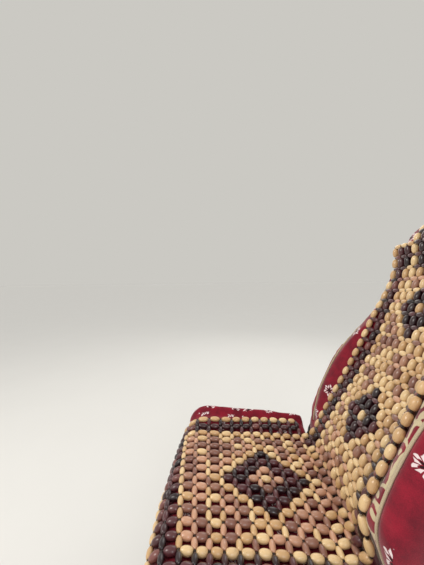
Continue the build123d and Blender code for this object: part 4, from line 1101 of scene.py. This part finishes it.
def boltTree():
    # a hexagon head on a round flange, at every point, looking along its facing attribute
    inputs = {"Geometry": "Geometry", "Head Radius": 0.009, "Head Height": 0.006, "Washer Radius": 0.012,
              "Sides": 6, "Finish": "Material"}
    tree, b, gin, gout = newGroup("boltHeads", inputs, ("Geometry",), "Geometry")
    thin = b.scaled(gin["Head Height"], 0.3)
    washer = b.out("MeshCylinder", {"Vertices": 20, "Radius": gin["Washer Radius"], "Depth": thin})
    head = b.out("MeshCylinder", {"Vertices": gin["Sides"], "Radius": gin["Head Radius"],
                                  "Depth": gin["Head Height"]})
    crown = b.out("MeshCone", {"Vertices": 20, "Radius Top": b.scaled(gin["Head Radius"], 0.78),
                               "Radius Bottom": gin["Head Radius"], "Depth": thin})
    stack = b.add("JoinGeometry")
    for mesh, share in ((washer, 0.15), (head, 0.6), (crown, 1.09)):
        offset = b.out("CombineXYZ", {2: b.scaled(gin["Head Height"], share)})
        raised = b.out("Transform", {"Geometry": mesh, "Translation": offset})
        tree.links.new(raised, stack.inputs[0])
    facing = b.out("InputNamedAttribute", {"Name": "facing"}, data_type="FLOAT_VECTOR")
    aim = b.out("AlignRotationToVector", {"Vector": facing}, axis="Z")
    spots = b.out("MeshToPoints", {"Mesh": gin["Geometry"]})
    fixed = b.out("InstanceOnPoints", {"Points": spots, "Instance": stack.outputs[0], "Rotation": aim})
    b.feed(gout[0], finished(b, fixed, gin["Finish"]))
    return tree


boltHeads = boltTree()


def fasteners(name, spots, body, sizes):
    # bright heads, each given by its place and the way it faces
    mesh = bpy.data.meshes.new(name)
    mesh.from_pydata([at for at, _ in spots], [], [])
    facing = np.array([way for _, way in spots], np.float32)
    mesh.attributes.new("facing", "FLOAT_VECTOR", "POINT").data.foreach_set("vector", facing.ravel())
    settle(growFrom(name, mesh, boltHeads, {**sizes, "Finish": brightSteel}), body, "bright_steel")


floorBoltLook = {"x": 0.108, "y": 0.150, "z": 0.004}
fasteners("floorBolts", [((sx * floorBoltLook["x"], sy * floorBoltLook["y"], floorBoltLook["z"]), (0, 0, 1))
                         for sx in (-1, 1) for sy in (-1, 1)],
          "base", {"Head Radius": 0.0092, "Head Height": 0.0064, "Washer Radius": 0.0115})
trimScrewLook = {"out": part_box("side_trims")[1].x, "ys": (-0.152, 0.020), "z": 0.330}
fasteners("trimScrews", [((s * trimScrewLook["out"], y, trimScrewLook["z"]), (s, 0, 0))
                         for s in (-1, 1) for y in trimScrewLook["ys"]],
          "seat", {"Head Radius": 0.0046, "Head Height": 0.0016, "Washer Radius": 0.0062, "Sides": 20})

# rubber sleeve on the slide bar, ribbed
gripLook = {"half": 0.058, "radius": 0.0072, "end": 0.0052, "ribs": 15, "rib": 0.0008, "sides": 24,
            "barIn": 0.005, "z": 0.2867}
profile = [(gripLook["end"], 0.0)]
for t in np.arange(gripLook["ribs"] * 4 + 1) / (gripLook["ribs"] * 4):
    profile.append((gripLook["radius"] + gripLook["rib"] * math.sin(2 * math.pi * t * gripLook["ribs"]),
                    0.001 + t * (2 * gripLook["half"] - 0.002)))
profile.append((gripLook["end"], 2 * gripLook["half"]))
start = Vector((-gripLook["half"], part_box("slide_bar")[0].y + gripLook["barIn"], gripLook["z"]))
verts = []
for radius, reach in profile:
    for k in range(gripLook["sides"]):
        a = 2 * math.pi * k / gripLook["sides"]
        verts.append(start + Vector((reach, radius * math.sin(a), -radius * math.cos(a))))
slideGrip = meshFrom("slideGrip", verts, ringFaces(len(profile), gripLook["sides"]))
slideGrip.data.materials.append(gripRubber)
settle(slideGrip, "seat", "lever_plastic")

# red press bar beside the buckle's slot
buckleLook = {"x": -0.2732, "eye": (0.195, 0.351), "lean": math.radians(40), "reach": 0.1195,
              "wide": 0.026, "deep": 0.0062, "tall": 0.008, "sunk": 0.002, "edge": 0.0012}
look = buckleLook
stalk = Vector((0, -math.sin(look["lean"]), math.cos(look["lean"])))
cross = Vector((0, math.cos(look["lean"]), math.sin(look["lean"])))
mid = Vector((look["x"], *look["eye"])) + stalk * look["reach"]
block = bmesh.new()
bmesh.ops.create_cube(block, size=1.0)
for v in block.verts:
    x, y, z = v.co
    v.co = mid + Vector((x * look["deep"], 0, 0)) + cross * y * look["wide"]
    v.co += stalk * (z * look["tall"] - look["sunk"])
bmesh.ops.bevel(block, geom=block.edges[:], offset=look["edge"], segments=3, profile=0.6, affect="EDGES")
mesh = bpy.data.meshes.new("releaseButton")
block.to_mesh(mesh)
block.free()
mesh.polygons.foreach_set("use_smooth", [True] * len(mesh.polygons))
mesh.materials.append(releaseRed)
settle(newObject("releaseButton", mesh), "seat", "trim_plastic")
print("hardware fitted")

studio = {"floor": colour(219, 218, 214), "floorMottle": colour(216, 215, 211), "sky": colour(203, 201, 195),
          "fill": 0.86, "fillTint": (1.0, 0.985, 0.96, 1.0), "half": 30}
half = studio["half"]
floorMesh = meshFrom("studioFloor", [(-half, -half, 0), (half, -half, 0), (half, half, 0), (-half, half, 0)],
                     [(0, 1, 2, 3)], shadeSmooth=False)
floorPaint, b, shader, here = newMaterial("floorPaint", {"Specular IOR Level": 0.2})
patch = b.noise(here, 3.0, 4.0, 0.5)
surface(b, shader, b.blend(patch, studio["floor"], studio["floorMottle"]), b.scaled(patch, 0.1, 0.7))
floorMesh.data.materials.append(floorPaint)

world = bpy.data.worlds.new("studioSky")
bpy.context.scene.world = world
world.use_nodes = True
world.node_tree.nodes.clear()
b = NodeBench(world.node_tree)
path = b.add("LightPath").outputs
mirrored = b.sum("MAXIMUM", path["Is Glossy Ray"], path["Is Transmission Ray"])
seen = b.sum("MAXIMUM", path["Is Camera Ray"], mirrored)
fill = b.out("Background", {"Color": studio["fillTint"], "Strength": studio["fill"]})
sky = b.out("Background", {"Color": studio["sky"], "Strength": 1.0})
b.add("OutputWorld", {0: b.out("MixShader", {0: seen, 1: fill, 2: sky})})

lamps = {  # place, what it looks at, size, power and tint
    "keyLamp": ((0.9, -2.2, 2.4), (0.0, 0.0, 0.6), 1.1, 33.0, (1.0, 0.96, 0.90)),
    "doorLamp": ((2.6, 0.6, 1.9), (0.0, 0.1, 0.6), 0.9, 15.0, (0.95, 0.97, 1.0)),
    "farLamp": ((-2.4, 0.4, 2.2), (0.0, 0.1, 0.6), 2.0, 14.0, (1.0, 0.97, 0.93)),
    "backLamp": ((-0.6, 2.6, 2.2), (0.0, 0.2, 0.6), 2.0, 12.0, (1.0, 1.0, 1.0)),
}
for name, (at, aimAt, size, power, tint) in lamps.items():
    data = bpy.data.lights.new(name, "AREA")
    data.shape = "DISK"
    data.size = size
    data.energy = power
    data.color = tint
    lamp = newObject(name, data)
    lamp.location = at
    lamp.rotation_euler = (Vector(aimAt) - Vector(at)).to_track_quat("-Z", "Y").to_euler()

# the photograph's place: beside the open door, close over the cushion
shot = {"at": (0.5998, -0.0594, 0.9842), "yaw": 5.23, "pitch": -1.63, "roll": 0.85, "focal": 242.1,
        "longSide": 565.0, "sensor": 36.0}
yaw, pitch, roll = (math.radians(shot[k]) for k in ("yaw", "pitch", "roll"))
ahead = Vector((-math.cos(yaw) * math.cos(pitch), -math.sin(yaw) * math.cos(pitch), math.sin(pitch)))
right = ahead.cross(Vector((0, 0, 1))).normalized()
down = ahead.cross(right)
right, down = right * math.cos(roll) + down * math.sin(roll), down * math.cos(roll) - right * math.sin(roll)
lens = bpy.data.cameras.new("seatCamera")
lens.sensor_width = shot["sensor"]
lens.lens = shot["sensor"] * shot["focal"] / shot["longSide"]
lens.clip_start = 0.02
lens.clip_end = 100.0
camera = newObject("seatCamera", lens)
turn = Matrix((right, -down, -ahead)).transposed().to_4x4()
camera.matrix_world = Matrix.Translation(Vector(shot["at"])) @ turn
bpy.context.scene.camera = camera
bpy.context.scene.view_settings.view_transform = "Standard"

print("studio ready")
